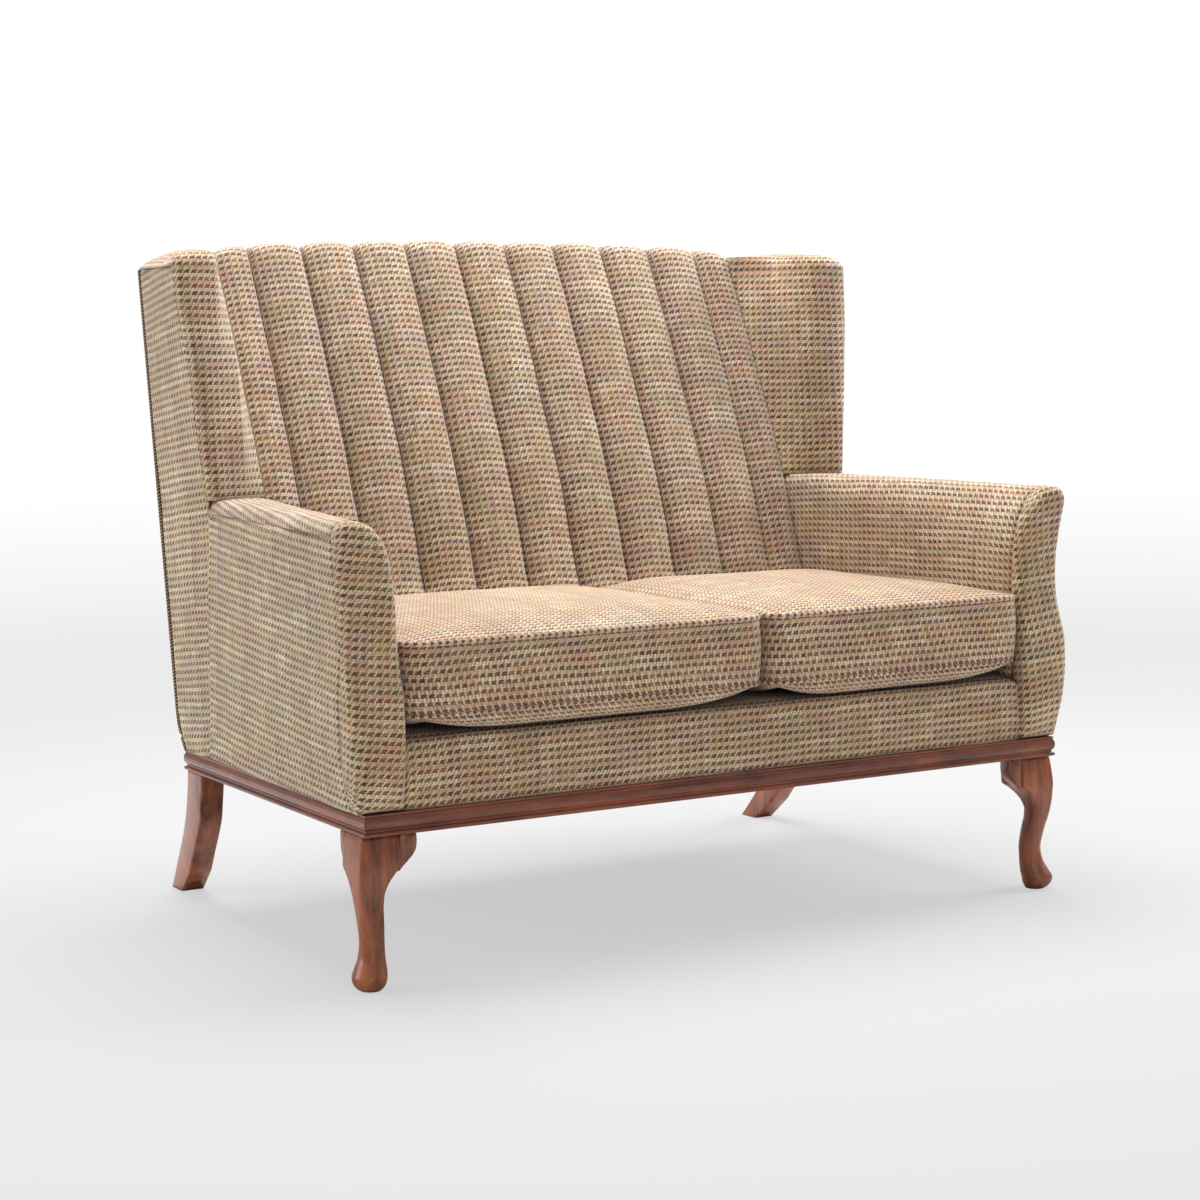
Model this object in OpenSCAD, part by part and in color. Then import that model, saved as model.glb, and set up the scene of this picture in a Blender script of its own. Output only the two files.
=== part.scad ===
// High back settee: two seats, fluted inside back, wings, loose cushions,
// show-wood moulding, cabriole front legs and swept rear legs.
// The front faces -Y, the floor is at z = 0 and the settee stands centred on x = 0.

/* [Base and moulding] */
// Width over the show-wood moulding
base_w = 1216; // [900:1:1700]
// Depth over the show-wood moulding
base_d = 665; // [560:1:760]
// Height of the legs, floor to moulding
leg_h = 217; // [150:1:300]
// Height of the moulding
mould_h = 31; // [26:0.5:40]
// Width of each moulding strip, front to back
mould_w = 62; // [50:1:80]
// How far the round band of the moulding swells
mould_swell = 5; // [2:0.5:8]
// Height of the small bead under the band
bead_h = 6.5; // [4:0.5:9]
// Height and depth of the groove over the bead
quirk = 2.6; // [1.5:0.1:4]
// Height of the flat fillet on top of the band
fillet_h = 2.5; // [1.5:0.1:4]

/* [Seat frame] */
// Thickness of the hardwood rails
rail_t = 28; // [22:1:34]
// Height of the seat rails
rail_h = 84; // [70:1:100]
// How far the cloth is set in from the moulding edge
set_in = 8; // [4:0.5:14]
// Thickness of the padding and cloth on the front and the sides
pad_t = 12; // [6:0.5:20]
// Leg of each glued corner block
block_leg = 78; // [50:1:100]
// Height of each glued corner block
block_h = 58; // [40:1:70]
// Wire diameter of the zigzag seat springs
spring_d = 3.6; // [3:0.1:4.5]
// Width of each zigzag spring
spring_w = 50; // [40:1:60]
// Number of seat springs
springs = 7; // [5:1:8]
// Bends in each seat spring
bends = 13; // [9:2:15]
// Thickness of the padded platform under the cushions
platform_t = 9; // [6:0.5:14]

/* [Cushions] */
// Height of a cushion border, seam to seam
border_h = 100; // [70:1:130]
// How far the underside hangs below the lower seam
cushion_belly = 31; // [15:1:40]
// How far the top swells above the upper seam
cushion_crown = 26; // [10:1:45]
// How far the cushions reach in front of the moulding
cushion_over = 3; // [0:0.5:20]
// Place of the gap between the cushions, right of the middle
cushion_split = 60; // [-20:1:80]
// Gap between the two cushions
cushion_gap = 2; // [1:0.5:8]

/* [Arms] */
// Height of the arm crown over the floor
arm_h = 647; // [560:1:720]
// Width of the arm at its front, inwards from the side of the moulding
arm_w_front = 66; // [50:1:120]
// Width of the arm at the back, inwards from the side of the moulding
arm_w_back = 116; // [80:1:150]
// How far the arm flares past the moulding at its front
arm_flare = 24.5; // [5:0.5:50]
// How far the arm is pinched in at the wing
arm_pinch = 13; // [0:0.5:25]
// Radius of the outer top edge of the arm
arm_edge_r = 20; // [10:1:30]
// Width of the rounding of the inner top edge at the front
arm_round_w = 60; // [30:1:80]
// Height of the rounding of the inner top edge at the front
arm_round_h = 130; // [60:1:160]
// Width and height of that rounding at the back
arm_round_back = 16; // [8:1:30]
// How far the arm front bellies out below the seat, from its waist
arm_belly = 25; // [10:1:40]
// Thickness of the arm front over its stump, at the waist
facing_t = 16.5; // [10:0.5:28]

/* [Wings] */
// Front of the wing at its top, behind the middle of the base
wing_front = 255; // [200:1:320]
// How far the wing front runs forward from its top to the arm
wing_lean = 39; // [0:1:60]
// How far the wing flares past the moulding at its top
wing_flare = 19.5; // [0:0.5:40]
// Height of the outer seam of the wing over the floor
wing_h = 1003; // [860:1:1100]
// How far the padded top of the wing swells over its outer seam
wing_crown = 30; // [10:1:50]
// How far the inner top corner of the wing is swept back
wing_sweep = 93; // [40:1:120]
// Thickness of the padding over the wing post
wing_pad = 14; // [8:1:24]

/* [Back] */
// Height of the fluted back at its middle
back_h = 1055; // [900:1:1200]
// Depth from the middle of the base to the flute seams, at the height back_ref_h
back_ref_d = 208; // [140:1:260]
// Height where that depth is taken
back_ref_h = 479; // [400:1:560]
// Rake of the inside back, in degrees from upright
back_rake = 23.6; // [12:0.1:28]
// Forward swell of the stuffed back between the seat and the roll
back_swell = 15; // [0:0.5:24]
// Number of flutes
flutes = 11; // [7:2:15]
// Distance from the side of the moulding to the edge of the fluted back
back_in = 117; // [81:1:151]
// Width of each outermost flute where it shows beside the wing
end_flute_w = 63.5; // [40:0.5:95]
// How far each flute swells from its seams
flute_crown = 13; // [6:0.5:22]
// Radius of the back where its seams roll over the top
roll_r = 18; // [12:0.5:28]
// Drop of the arched top line at its ends
arch = 13; // [0:1:40]
// Further drop of the outermost flutes where they meet the wings
end_drop = 12; // [0:1:24]
// Thickness of the stuffing behind the flute seams
back_fill = 16; // [10:1:24]
// Overhang of the outside back past the moulding, at the height of the rails
back_over = 34; // [0:1:50]
// Rake of the outside back, in degrees from upright
outer_rake = 9; // [0:0.1:14]
// Thickness of the outside back
outer_t = 8; // [4:0.5:12]
// Diameter of the piping on the rear edges
piping_d = 7; // [4:0.5:9]

/* [Front legs] */
// Inset of the ankle from the side of the moulding
ankle_in = 23; // [18:0.5:40]
// Inset of the ankle from the front of the moulding
ankle_back = 32.5; // [18:0.5:40]
// Reach of the knee from the axis of the ankle; the other reaches follow it
knee_out = 27.5; // [20:0.5:32]
// Length of the ear along the front
ear_front = 27; // [20:1:60]
// Length of the ear along the side
ear_side = 14; // [10:1:50]
// Height of an ear
ear_h = 53; // [30:1:70]
// Thickness of an ear
ear_t = 24; // [14:1:34]

/* [Rear legs] */
// Width of a rear leg
rear_w = 39; // [30:1:56]
// Depth of a rear leg at its top
rear_top_d = 60; // [50:1:80]
// Depth of a rear leg at the floor
rear_foot_d = 46; // [34:1:60]
// How far the rear legs sweep backwards
rear_sweep = 144; // [40:1:170]
// How far the rear legs run inwards to the floor
rear_tuck = 22; // [0:1:40]

/* [Hidden] */
$fn = 48;

// Small clearances and overruns
fit = 0.3;
cut = 1;

// Boards and fixings inside
lip_d = 14;
clip_w = 16;
clip_t = 1.6;
clip_len = 20;
bolt_d = 8;
bolt_fit = 0.2;
bolt_up = 36;
bolt_down = 30;
cover_t = 1.2;
cover_lap = 20;
top_rail_h = 70;
lower_rail_h = 60;
strap_t = 2;
strap_w = 50;
post_t = 20;
post_d = 45;
stile_w = 28;
stump_d = 40;
arm_rail_drop = 50;
arm_rail_t = 24;
tacking_h = 24;
wing_post_d = 48;
wing_rail_t = 24;
border_swell = 3;
back_inset = 6;
tongue = 10;
panel_swell = 1.5;
rear_in = 4;

// Heights
mould_top = leg_h + mould_h;
rail_top = mould_top + rail_h;
platform_z = rail_top + clip_t + spring_d + fit;
seat_z = platform_z + platform_t - clip_t;
seam_low = seat_z + cushion_belly;
seam_high = seam_low + border_h;
seam_z = arm_h - arm_edge_r;
stump_top = arm_h - arm_rail_drop;
back_top = wing_h - back_inset;
border_top = seat_z - fit;
lower_rail_z = rail_top + rail_t;
post_bend_z = back_top - 2 * top_rail_h;
top_rail_z = back_top - top_rail_h;

// Plan: half sizes and faces of the frame
half_w = base_w / 2;
half_d = base_d / 2;
frame_x = half_w - set_in - pad_t;
frame_in_x = frame_x - rail_t;
frame_front = -half_d + set_in + pad_t;
rail_back_in = half_d - set_in - rail_t;
stump_y = frame_front + pad_t;
pad_x = frame_in_x - fit;
arm_in_front = half_w - arm_w_front;
arm_in_back = half_w - arm_w_back;
back_half = half_w - back_in;
flute_w = 2 * (back_half - end_flute_w) / (flutes - 2);
flute_end_x = back_half + fit;
rear_y = half_d - rear_in;
stile_in_x = frame_in_x - stile_w;

// Leg bolts stand on the mitres of the moulding
bolt_in = mould_w / 2;
bolt_x = half_w - bolt_in;
bolt_y = half_d - bolt_in;

// Blends, rings and lofts
function lerp(a, b, t) = a + (b - a) * t;
function clamp(t) = min(1, max(0, t));
function sgn(v) = v < 0 ? -1 : 1;
function column(table, i) = [for (row = table) [row[0], row[i]]];
function at(table, i, t) = lookup(t, column(table, i));

// Inside back: depth of the flute seams and of the straps behind them, by height
rake_slope = tan(back_rake);
function seam_y(z) = back_ref_d + rake_slope * (z - back_ref_h);
function web_y(z) = seam_y(z) + back_fill;
swell_shares = [[0, 0], [0.12, 0.5], [0.25, 0.87], [0.4, 1], [0.56, 0.85], [0.72, 0.68],
    [0.88, 0.4], [1, 0]];
function stuffed_y(z) = seam_y(z) - back_swell
    * at(swell_shares, 1, clamp((z - seam_high - cushion_crown)
        / (roll_z - seam_high - cushion_crown)));

// Outside back: it swells out over the rail, then leans back at the outer rake
outer_slope = tan(outer_rake);
tuck_shares = [[0, 0.05], [0.2, 0.34], [0.42, 0.62], [0.7, 0.86], [1, 1]];
outer_ref_z = rail_top - rail_t;
function outer_y(z) = z < outer_ref_z
    ? half_d + back_over * at(tuck_shares, 1, (z - mould_top) / (outer_ref_z - mould_top))
    : half_d + back_over + outer_slope * (z - outer_ref_z);
function frame_y(z) = outer_y(z) - outer_t;
tuck_zs = [for (row = tuck_shares) lerp(mould_top, outer_ref_z, row[0])];

// The settee is centred front to back between its foremost and rearmost points
arm_front_y = stump_y - fit - facing_t;
roll_z = back_h - roll_r - flute_crown;
roll_y = seam_y(roll_z) + roll_r / cos(back_rake);
front_reach = max(half_d + cushion_over, arm_belly - arm_front_y);
rear_reach = roll_y + roll_r;
middle_y = (rear_reach - front_reach) / 2;

// Skin a list of equal rings; each ring runs anticlockwise seen from the last one.
// A hollow-sided end is closed with the triangles of cap, in the numbers of a ring
module loft(rings, cap = []) {
    n = len(rings[0]);
    m = len(rings);
    points = [for (r = rings) each r];
    sides = [for (i = [0 : m - 2], j = [0 : n - 1])
        let (a = i * n + j, b = i * n + (j + 1) % n)
        each [[a, a + n, b + n], [a, b + n, b]]];
    first = len(cap) == 0 ? [run(0, n)] : cap;
    last = len(cap) == 0 ? [down(run((m - 1) * n, n))]
        : [for (c = cap) [for (k = [2 : -1 : 0]) (m - 1) * n + c[k]]];
    polyhedron(points = points, faces = concat(first, sides, last), convexity = 8);
}

// Side faces between two rings of point numbers, and a run of such numbers
function skin(a, b) = [for (j = [0 : len(a) - 1]) let (k = (j + 1) % len(a))
    each [[a[j], b[j], b[k]], [a[j], b[k], a[k]]]];
function run(first, count) = [for (i = [0 : count - 1]) first + i];
function skins(first, n, m) = m < 2 ? [] : [for (i = [0 : m - 2])
    each skin(run(first + i * n, n), run(first + (i + 1) * n, n))];
function down(ring) = [for (i = [len(ring) - 1 : -1 : 0]) ring[i]];

module flip_x() {
    mirror([1, 0, 0]) children();
}

// A board whose outline lies in the side view, between two values of x
module side_board(x0, x1, outline) {
    translate([x0, 0, 0])
        rotate([90, 0, 90]) linear_extrude(x1 - x0) polygon(outline);
}

module block(x0, x1, y0, y1, z0, z1) {
    translate([x0, y0, z0]) cube([x1 - x0, y1 - y0, z1 - z0]);
}

// Seat frame

module front_seat_rail() {
    color("burlywood") block(-frame_in_x, frame_in_x, frame_front,
        frame_front + rail_t, mould_top, rail_top);
}

function rail_rear() = concat(
    [for (z = tuck_zs) [frame_y(z), z]], [[frame_y(rail_top), rail_top]]);

module back_seat_rail() {
    color("burlywood") side_board(-frame_in_x, frame_in_x, concat(
        [[rail_back_in, mould_top]], rail_rear(),
        [[frame_y(rail_top) - rail_t, rail_top]]));
}

module side_rail() {
    color("burlywood") difference() {
        side_board(frame_in_x, frame_x, concat(
            [[frame_front, mould_top]], rail_rear(), [[frame_front, rail_top]]));
        for (y = [-bolt_y, bolt_y])
            translate([bolt_x, y, mould_top - cut])
                cylinder(d = bolt_d + 2 * bolt_fit, h = bolt_up + bolt_fit + cut);
    }
}

module centre_seat_rail() {
    color("burlywood") block(-rail_t / 2, rail_t / 2, frame_front + rail_t,
        rail_back_in, mould_top, rail_top - rail_t);
}

module corner_block() {
    linear_extrude(block_h) polygon([[0, 0], [block_leg, 0], [0, block_leg]]);
}

module corner_blocks() {
    color("burlywood") for (side = [0, 1]) mirror([side, 0, 0]) {
        translate([-frame_in_x, frame_front + rail_t, mould_top]) corner_block();
        translate([-frame_in_x, rail_back_in, mould_top]) mirror([0, 1, 0]) corner_block();
    }
}

// Back frame

function rail_face(z) = frame_y(z) - post_t;
function post_face(z) = frame_y(z) - post_d;
function stile_face(z) = web_y(z) + strap_t;

module back_post() {
    color("burlywood") side_board(frame_in_x, frame_x, [
        [post_face(rail_top), rail_top], [frame_y(rail_top), rail_top],
        [frame_y(back_top), back_top], [post_face(back_top), back_top]]);
}

// Raked stile that carries the straps, from the side rail up to the top rail
module back_stile() {
    z0 = rail_top - post_d;
    color("burlywood") side_board(stile_in_x, frame_in_x, [
        [stile_face(z0), z0], [stile_face(z0) + post_t, z0],
        [frame_y(top_rail_z), top_rail_z], [stile_face(top_rail_z), top_rail_z]]);
}

module top_back_rail() {
    color("burlywood") side_board(-frame_in_x, frame_in_x, [
        [rail_face(top_rail_z), top_rail_z], [frame_y(top_rail_z), top_rail_z],
        [frame_y(back_top), back_top], [rail_face(back_top), back_top]]);
}

module lower_back_rail() {
    z0 = lower_rail_z;
    z1 = lower_rail_z + lower_rail_h;
    color("burlywood") side_board(-stile_in_x, stile_in_x, [
        [stile_face(z0), z0], [stile_face(z0) + post_t, z0],
        [stile_face(z1) + post_t, z1], [stile_face(z1), z1]]);
}

module centre_back_post() {
    z0 = lower_rail_z + lower_rail_h;
    color("burlywood") side_board(-rail_t / 2, rail_t / 2, [
        [stile_face(z0), z0], [stile_face(z0) + post_t, z0],
        [frame_y(top_rail_z), top_rail_z], [stile_face(top_rail_z), top_rail_z]]);
}

// Arm frame

arm_back_y = wing_front - wing_lean;
post_foot_y = arm_back_y + wing_pad;

module arm_stump() {
    color("burlywood") block(frame_in_x, frame_x, stump_y, stump_y + stump_d,
        rail_top, stump_top - arm_rail_t);
}

module arm_rail() {
    color("burlywood") block(frame_in_x, frame_x, stump_y, post_foot_y,
        stump_top - arm_rail_t, stump_top);
}

module arm_tacking_rail() {
    color("burlywood") block(frame_in_x, frame_x, stump_y + stump_d, post_foot_y,
        seat_z, seat_z + tacking_h);
}

// Wing frame. Height share, then how much of the lean is left, how much of the flare
// is reached and how far the inner corner is swept back

wing_shares = [[0.00, 1.00, 0.00, 0.22], [0.36, 0.72, 0.36, 0.21],
    [0.61, 0.51, 0.59, 0.27], [0.72, 0.36, 0.76, 0.37], [0.81, 0.21, 0.885, 0.48],
    [0.89, 0.11, 0.95, 0.62], [0.95, 0.04, 0.98, 0.80], [1.00, 0.00, 1.00, 1.00]];
function wing_t(z) = clamp((z - seam_z) / (wing_h - seam_z));
function wing_y(z) = wing_front - wing_lean * at(wing_shares, 1, wing_t(z));

wing_zs = [for (row = wing_shares) if (row[0] > 0 && row[0] < 1)
    lerp(seam_z, wing_h, row[0])];

module wing_post() {
    foot = [[post_foot_y, rail_top], [post_foot_y + wing_post_d, rail_top]];
    top = wing_y(back_top) + wing_pad;
    color("burlywood") side_board(frame_in_x, frame_x, concat(foot,
        [[top + wing_post_d, back_top], [top, back_top]],
        [for (i = [len(wing_zs) - 1 : -1 : 0])
            [wing_y(wing_zs[i]) + wing_pad, wing_zs[i]]],
        [[post_foot_y, seam_z]]));
}

module wing_rail() {
    z0 = back_top - wing_rail_t;
    y0 = wing_y(back_top) + wing_pad + wing_post_d;
    slope = (y0 - post_foot_y - wing_post_d) / (back_top - rail_top);
    color("burlywood") side_board(frame_in_x, frame_x, [
        [y0, back_top], [y0 - slope * wing_rail_t, z0],
        [post_face(z0), z0], [post_face(back_top), back_top]]);
}

// Seat suspension

spring_span = [frame_front + lip_d, frame_y(rail_top) - lip_d];
spring_pitch = 2 * (frame_in_x - block_leg) / springs;
bend_step = (spring_span[1] - spring_span[0]) / (bends + 1);

// Centre line of one zigzag spring: straight bars joined by round bends
bend_points = 5;
function spring_line() = let (turn = bend_step / 2, reach = spring_w / 2 - turn)
    concat(
        [[0, spring_span[0] + turn]],
        [for (i = [0 : bends - 1]) let (
                s = i % 2 == 0 ? 1 : -1,
                y = spring_span[0] + bend_step * (i + 1))
            for (k = [0 : bend_points]) let (a = -90 + 180 * k / bend_points)
            [s * (reach + turn * cos(a)), y + turn * sin(a)]],
        [[0, spring_span[0] + bend_step * (bends + 1 / 2)]]);
function unit(v) = v / norm(v);
function side_points(line, w) = let (n = len(line)) [for (i = [0 : n - 1]) let (
        p = unit(line[min(i + 1, n - 1)] - line[max(i - 1, 0)]))
    line[i] + w * [-p[1], p[0]]];

module seat_spring() {
    line = spring_line();
    right = side_points(line, -spring_d / 2);
    left = side_points(line, spring_d / 2);
    linear_extrude(spring_d) polygon(concat(right,
        [for (i = [len(left) - 1 : -1 : 0]) left[i]]));
}

module seat_springs() {
    color("dimgray") for (i = [0 : springs - 1])
        translate([(i - (springs - 1) / 2) * spring_pitch, 0,
            rail_top + clip_t]) seat_spring();
}

module spring_clips() {
    ends = [spring_span[0] + bend_step / 2, spring_span[1] - bend_step / 2];
    color("silver") for (i = [0 : springs - 1], y = ends)
        translate([(i - (springs - 1) / 2) * spring_pitch - clip_w / 2,
            y - clip_len / 2, rail_top])
            cube([clip_w, clip_len, clip_t - fit / 2]);
}

module seat_platform() {
    color("tan") block(-frame_in_x + cut, frame_in_x - cut, frame_front + lip_d,
        web_y(platform_z) - cut, platform_z, seat_z);
}

module back_webbing() {
    straps = 7;
    z0 = lower_rail_z + strap_w;
    z1 = post_bend_z - strap_w / 2;
    x = pad_x;
    color("black") for (i = [0 : straps - 1]) {
        z = lerp(z0, z1, i / (straps - 1));
        translate([0, web_y(z), z]) rotate([-back_rake, 0, 0])
            translate([-x, 0, -strap_w / 2])
                cube([2 * x, strap_t * cos(back_rake) - fit / 2, strap_w]);
    }
}

// Show-wood moulding: bead, groove, round band and fillet

arc_steps = 7;
function mould_profile() = let (
        bead_r = bead_h / 2,
        band_z = bead_h + quirk,
        band_h = mould_h - band_z - fillet_h,
        neck = -mould_swell * 0.8,
        ledge = -mould_swell * 0.4)
    concat(
        [[-mould_w, 0]],
        [for (i = [0 : arc_steps]) let (a = -90 + 180 * i / arc_steps)
            [-bead_r + bead_r * cos(a), bead_r + bead_r * sin(a)]],
        [[neck, bead_h], [neck, band_z]],
        [for (i = [1 : arc_steps - 1]) let (a = -90 + 180 * i / arc_steps)
            [-mould_swell + mould_swell * cos(a), band_z + band_h / 2 * (1 + sin(a))]],
        [[neck, mould_h - fillet_h], [ledge, mould_h - fillet_h], [ledge, mould_h],
            [-mould_w, mould_h]]);

// One strip along x, its outer edge on y = 0 and its ends mitred
module moulding_strip(length) {
    difference() {
        intersection() {
            translate([-length / 2, 0, 0]) rotate([90, 0, 90])
                linear_extrude(length) polygon(mould_profile());
            translate([0, 0, -cut]) linear_extrude(mould_h + 2 * cut) polygon([
                [-length / 2, 0], [length / 2, 0],
                [length / 2 - mould_w, -mould_w], [-length / 2 + mould_w, -mould_w]]);
        }
        for (x = [-length / 2 + bolt_in, length / 2 - bolt_in])
            translate([x, -bolt_in, -cut])
                cylinder(d = bolt_d + 2 * bolt_fit, h = mould_h + 2 * cut);
    }
}

module moulding_front() {
    color("saddlebrown") translate([0, -half_d, leg_h]) rotate([0, 0, 180])
        moulding_strip(base_w);
}

module moulding_back() {
    color("saddlebrown") translate([0, half_d, leg_h]) moulding_strip(base_w);
}

module moulding_side() {
    color("saddlebrown") translate([half_w, 0, leg_h]) rotate([0, 0, -90])
        moulding_strip(base_d);
}

// Front legs. Height share, then the inner reach, the outer reach and the corner
// radius, each as a share of the knee

leg_shares = [
    [0.00, 0.30, 0.74, 0.52], [0.02, 0.42, 0.98, 0.70], [0.05, 0.53, 1.15, 0.84],
    [0.086, 0.58, 1.21, 0.895], [0.136, 0.63, 1.04, 0.835], [0.21, 0.625, 0.755, 0.69],
    [0.31, 0.636, 0.636, 0.636], [0.39, 0.60, 0.70, 0.60], [0.468, 0.53, 0.79, 0.545],
    [0.54, 0.45, 0.89, 0.47], [0.60, 0.436, 0.95, 0.40], [0.655, 0.53, 0.985, 0.34],
    [0.705, 0.727, 1.00, 0.29], [0.75, 1.00, 1.00, 0.24], [0.79, 1.27, 0.99, 0.18],
    [0.90, 1.27, 0.90, 0.14], [1.00, 1.27, 0.78, 0.11]];

// Ring of a section from -a to b both ways, with rounded corners
corner_steps = 4;
function leg_ring(a, b, r, z) = [for (q = [0 : 3], k = [0 : corner_steps])
    let (rr = q == 2 ? min(1.6 * r, (a + b) / 2.05) : r,
        t = q * 90 + k * 90 / (corner_steps + 0.001),
        sx = q == 0 || q == 3 ? 1 : -1,
        sy = q < 2 ? 1 : -1,
        cx = sx > 0 ? b - rr : rr - a,
        cy = sy > 0 ? b - rr : rr - a)
    [cx + rr * cos(t), cy + rr * sin(t), z]];

leg_x = half_w - ankle_in;
leg_y = -half_d + ankle_back;

module cabriole_leg() {
    rings = [for (row = leg_shares) let (
            a = row[1] * knee_out, b = row[2] * knee_out,
            r = min(row[3] * knee_out, (a + b) / 2.05))
        leg_ring(a, b, r, row[0] * leg_h)];
    color("saddlebrown") translate([leg_x, leg_y, 0]) rotate([0, 0, -90]) loft(rings);
}

// An ear under the moulding: a bracket that sweeps from its tip down to the leg
ear_face_share = 0.80;
block_share = 1.27;
ear_shares = [[1, 0], [1.02, 0.20], [1, 0.36], [0.93, 0.49], [0.76, 0.62], [0.46, 0.77],
    [0.14, 0.92], [0, 1]];
function ear_outline(length) = concat(
    [[0, 0]], [for (e = ear_shares) [length * e[0], -ear_h * e[1]]]);

module leg_ears() {
    x0 = leg_x - block_share * knee_out;
    y0 = leg_y + block_share * knee_out;
    face_y = leg_y - ear_face_share * knee_out;
    face_x = leg_x + ear_face_share * knee_out;
    color("saddlebrown") {
        translate([x0, face_y + ear_t, leg_h]) rotate([90, 0, 0])
            mirror([1, 0, 0]) linear_extrude(ear_t) polygon(ear_outline(ear_front));
        translate([face_x - ear_t, y0, leg_h]) rotate([90, 0, 90])
            linear_extrude(ear_t) polygon(ear_outline(ear_side));
    }
}

// Rear legs. Height share, then the sweep and the depth between foot and top as shares

rear_shares = [[0, 1, 0], [0.10, 0.87, 0.5], [0.20, 0.75, 1], [0.35, 0.565, 0.95],
    [0.52, 0.37, 1.1], [0.64, 0.25, 1.2], [0.745, 0.17, 1.1], [0.87, 0.08, 1.05],
    [1, 0.01, 1.05]];

module rear_leg() {
    rings = [for (row = rear_shares) let (
            z = row[0] * leg_h,
            y1 = rear_y + rear_sweep * row[1],
            y0 = y1 - lerp(rear_foot_d, rear_top_d, row[2]),
            x1 = half_w - rear_in - rear_tuck * (1 - row[0]),
            x0 = x1 - rear_w)
        [[x0, y0, z], [x1, y0, z], [x1, y1, z], [x0, y1, z]]];
    color("saddlebrown") loft(rings);
}

module leg_bolts() {
    color("silver") for (x = [-bolt_x, bolt_x], y = [-bolt_y, bolt_y])
        translate([x, y, leg_h - bolt_down])
            cylinder(d = bolt_d, h = bolt_down + mould_h + bolt_up, $fn = 24);
}

module dust_cover() {
    x = half_w - mould_w + cover_lap;
    y = half_d - mould_w + cover_lap;
    cx = x - mould_w;
    cy = y - mould_w;
    color("black") translate([0, 0, leg_h - cover_t]) linear_extrude(cover_t) polygon([
        [-cx, -y], [cx, -y], [cx, -cy], [x, -cy], [x, cy], [cx, cy],
        [cx, y], [-cx, y], [-cx, cy], [-x, cy], [-x, -cy], [-cx, -cy]]);
}

// Front border: cloth and padding over the front rail, lapped over its top

module front_border() {
    r = pad_t;
    lip = frame_front + lip_d - fit;
    profile = concat(
        [[frame_front, mould_top], [frame_front, rail_top], [lip, rail_top],
            [lip, border_top]],
        [for (i = [0 : arc_steps]) let (a = 90 + 90 * i / arc_steps)
            [frame_front + r * cos(a), border_top - r + r * sin(a)]],
        [for (i = [1 : arc_steps]) let (t = i / arc_steps)
            [frame_front - pad_t - border_swell * sin(180 * t),
                lerp(border_top - r, mould_top, t)]]);
    color("tan") side_board(-arm_in_front + fit, arm_in_front - fit, profile);
}

// Arms. Height share, then the outer face and the belly as shares

arm_shares = [[0.00, 0.28, 0.50], [0.05, 0.42, 0.66], [0.10, 0.55, 0.79],
    [0.16, 0.67, 0.92], [0.27, 0.77, 1.00], [0.40, 0.81, 0.84], [0.48, 0.75, 0.50],
    [0.574, 0.68, 0.17], [0.65, 0.71, 0.04], [0.73, 0.79, 0.00], [0.80, 0.88, 0.09],
    [0.87, 0.95, 0.26], [0.95, 1.00, 0.46], [1.00, 1.00, 0.46]];
arm_foot_in = 4;

function arm_t(z) = clamp((z - mould_top) / (arm_h - mould_top));
function arm_run(y) = clamp((y - stump_y) / (arm_back_y - stump_y));
function arm_in_x(y) = lerp(arm_in_front, arm_in_back, arm_run(y));
function arm_front_x(z) = half_w - arm_foot_in
    + (arm_flare + arm_foot_in) * at(arm_shares, 1, arm_t(z));
function waist_x(z) = half_w - arm_foot_in - (arm_pinch - arm_foot_in) * arm_t(z);
rear_x = half_w - arm_foot_in / 2;

// Outer face of the arm and of the wing at any depth and height
function side_x(y, z) = z > seam_z
    ? lerp(lerp(waist_x(seam_z), half_w + wing_flare, at(wing_shares, 2, wing_t(z))),
        rear_x, clamp((y - wing_y(z)) / (outer_y(z) - wing_y(z))))
    : y < arm_back_y
    ? lerp(arm_front_x(z), waist_x(z), arm_run(y))
    : lerp(waist_x(z), rear_x, clamp((y - arm_back_y) / (outer_y(z) - arm_back_y)));

// Inside and top of the arm, one cloth, running on beside the flutes. Its sections lean
// back more and more, from upright over the stump to the rake of the back
round_steps = 7;
edge_steps = 4;
pad_front = stump_y - fit;
function lean_y(s, z) = lerp(pad_front, web_y(z) - fit, s);
roll_end_share = (post_foot_y - 4 * cut - pad_front) / (lean_y(1, arm_h) - pad_front);

function arm_section(s) = let (
        t = arm_run(lean_y(s, arm_h)),
        w = lerp(arm_round_w, arm_round_back, t),
        h = lerp(arm_round_h, arm_round_back, t),
        z0 = seat_z + fit,
        rail_z = stump_top + fit,
        side = frame_x - fit,
        within = pad_x - fit,
        outer = s > roll_end_share
            ? [for (k = [0 : edge_steps + 3]) let (
                    z = k > edge_steps
                        ? lerp(seam_z - fit / 2, rail_z, (k - edge_steps - 1) / 2)
                        : lerp(arm_h, seam_z, k / edge_steps),
                    t = 2 * (arm_h - z) / (arm_h - rail_z) - 1)
                [within - cut * t * t, z]]
            : concat(
                [for (i = [0 : edge_steps]) let (
                        a = 90 - 90 * i / edge_steps,
                        z = seam_z + arm_edge_r * sin(a),
                        xo = side_x(min(lean_y(s, z), arm_back_y), seam_z))
                    [xo - arm_edge_r + arm_edge_r * cos(a), z]],
                [[side, seam_z], [side, rail_z], [pad_x, rail_z]]))
    [for (p = concat(
        [[s > roll_end_share ? within : pad_x, z0], [arm_in_x(lean_y(s, z0)), z0]],
        [for (i = [0 : round_steps]) let (
                a = 180 - 90 * i / round_steps, z = arm_h - h + h * sin(a))
            [arm_in_x(lean_y(s, z)) + w + w * cos(a), z]],
        outer)) [p[0], lean_y(s, p[1]), p[1]]];

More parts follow.
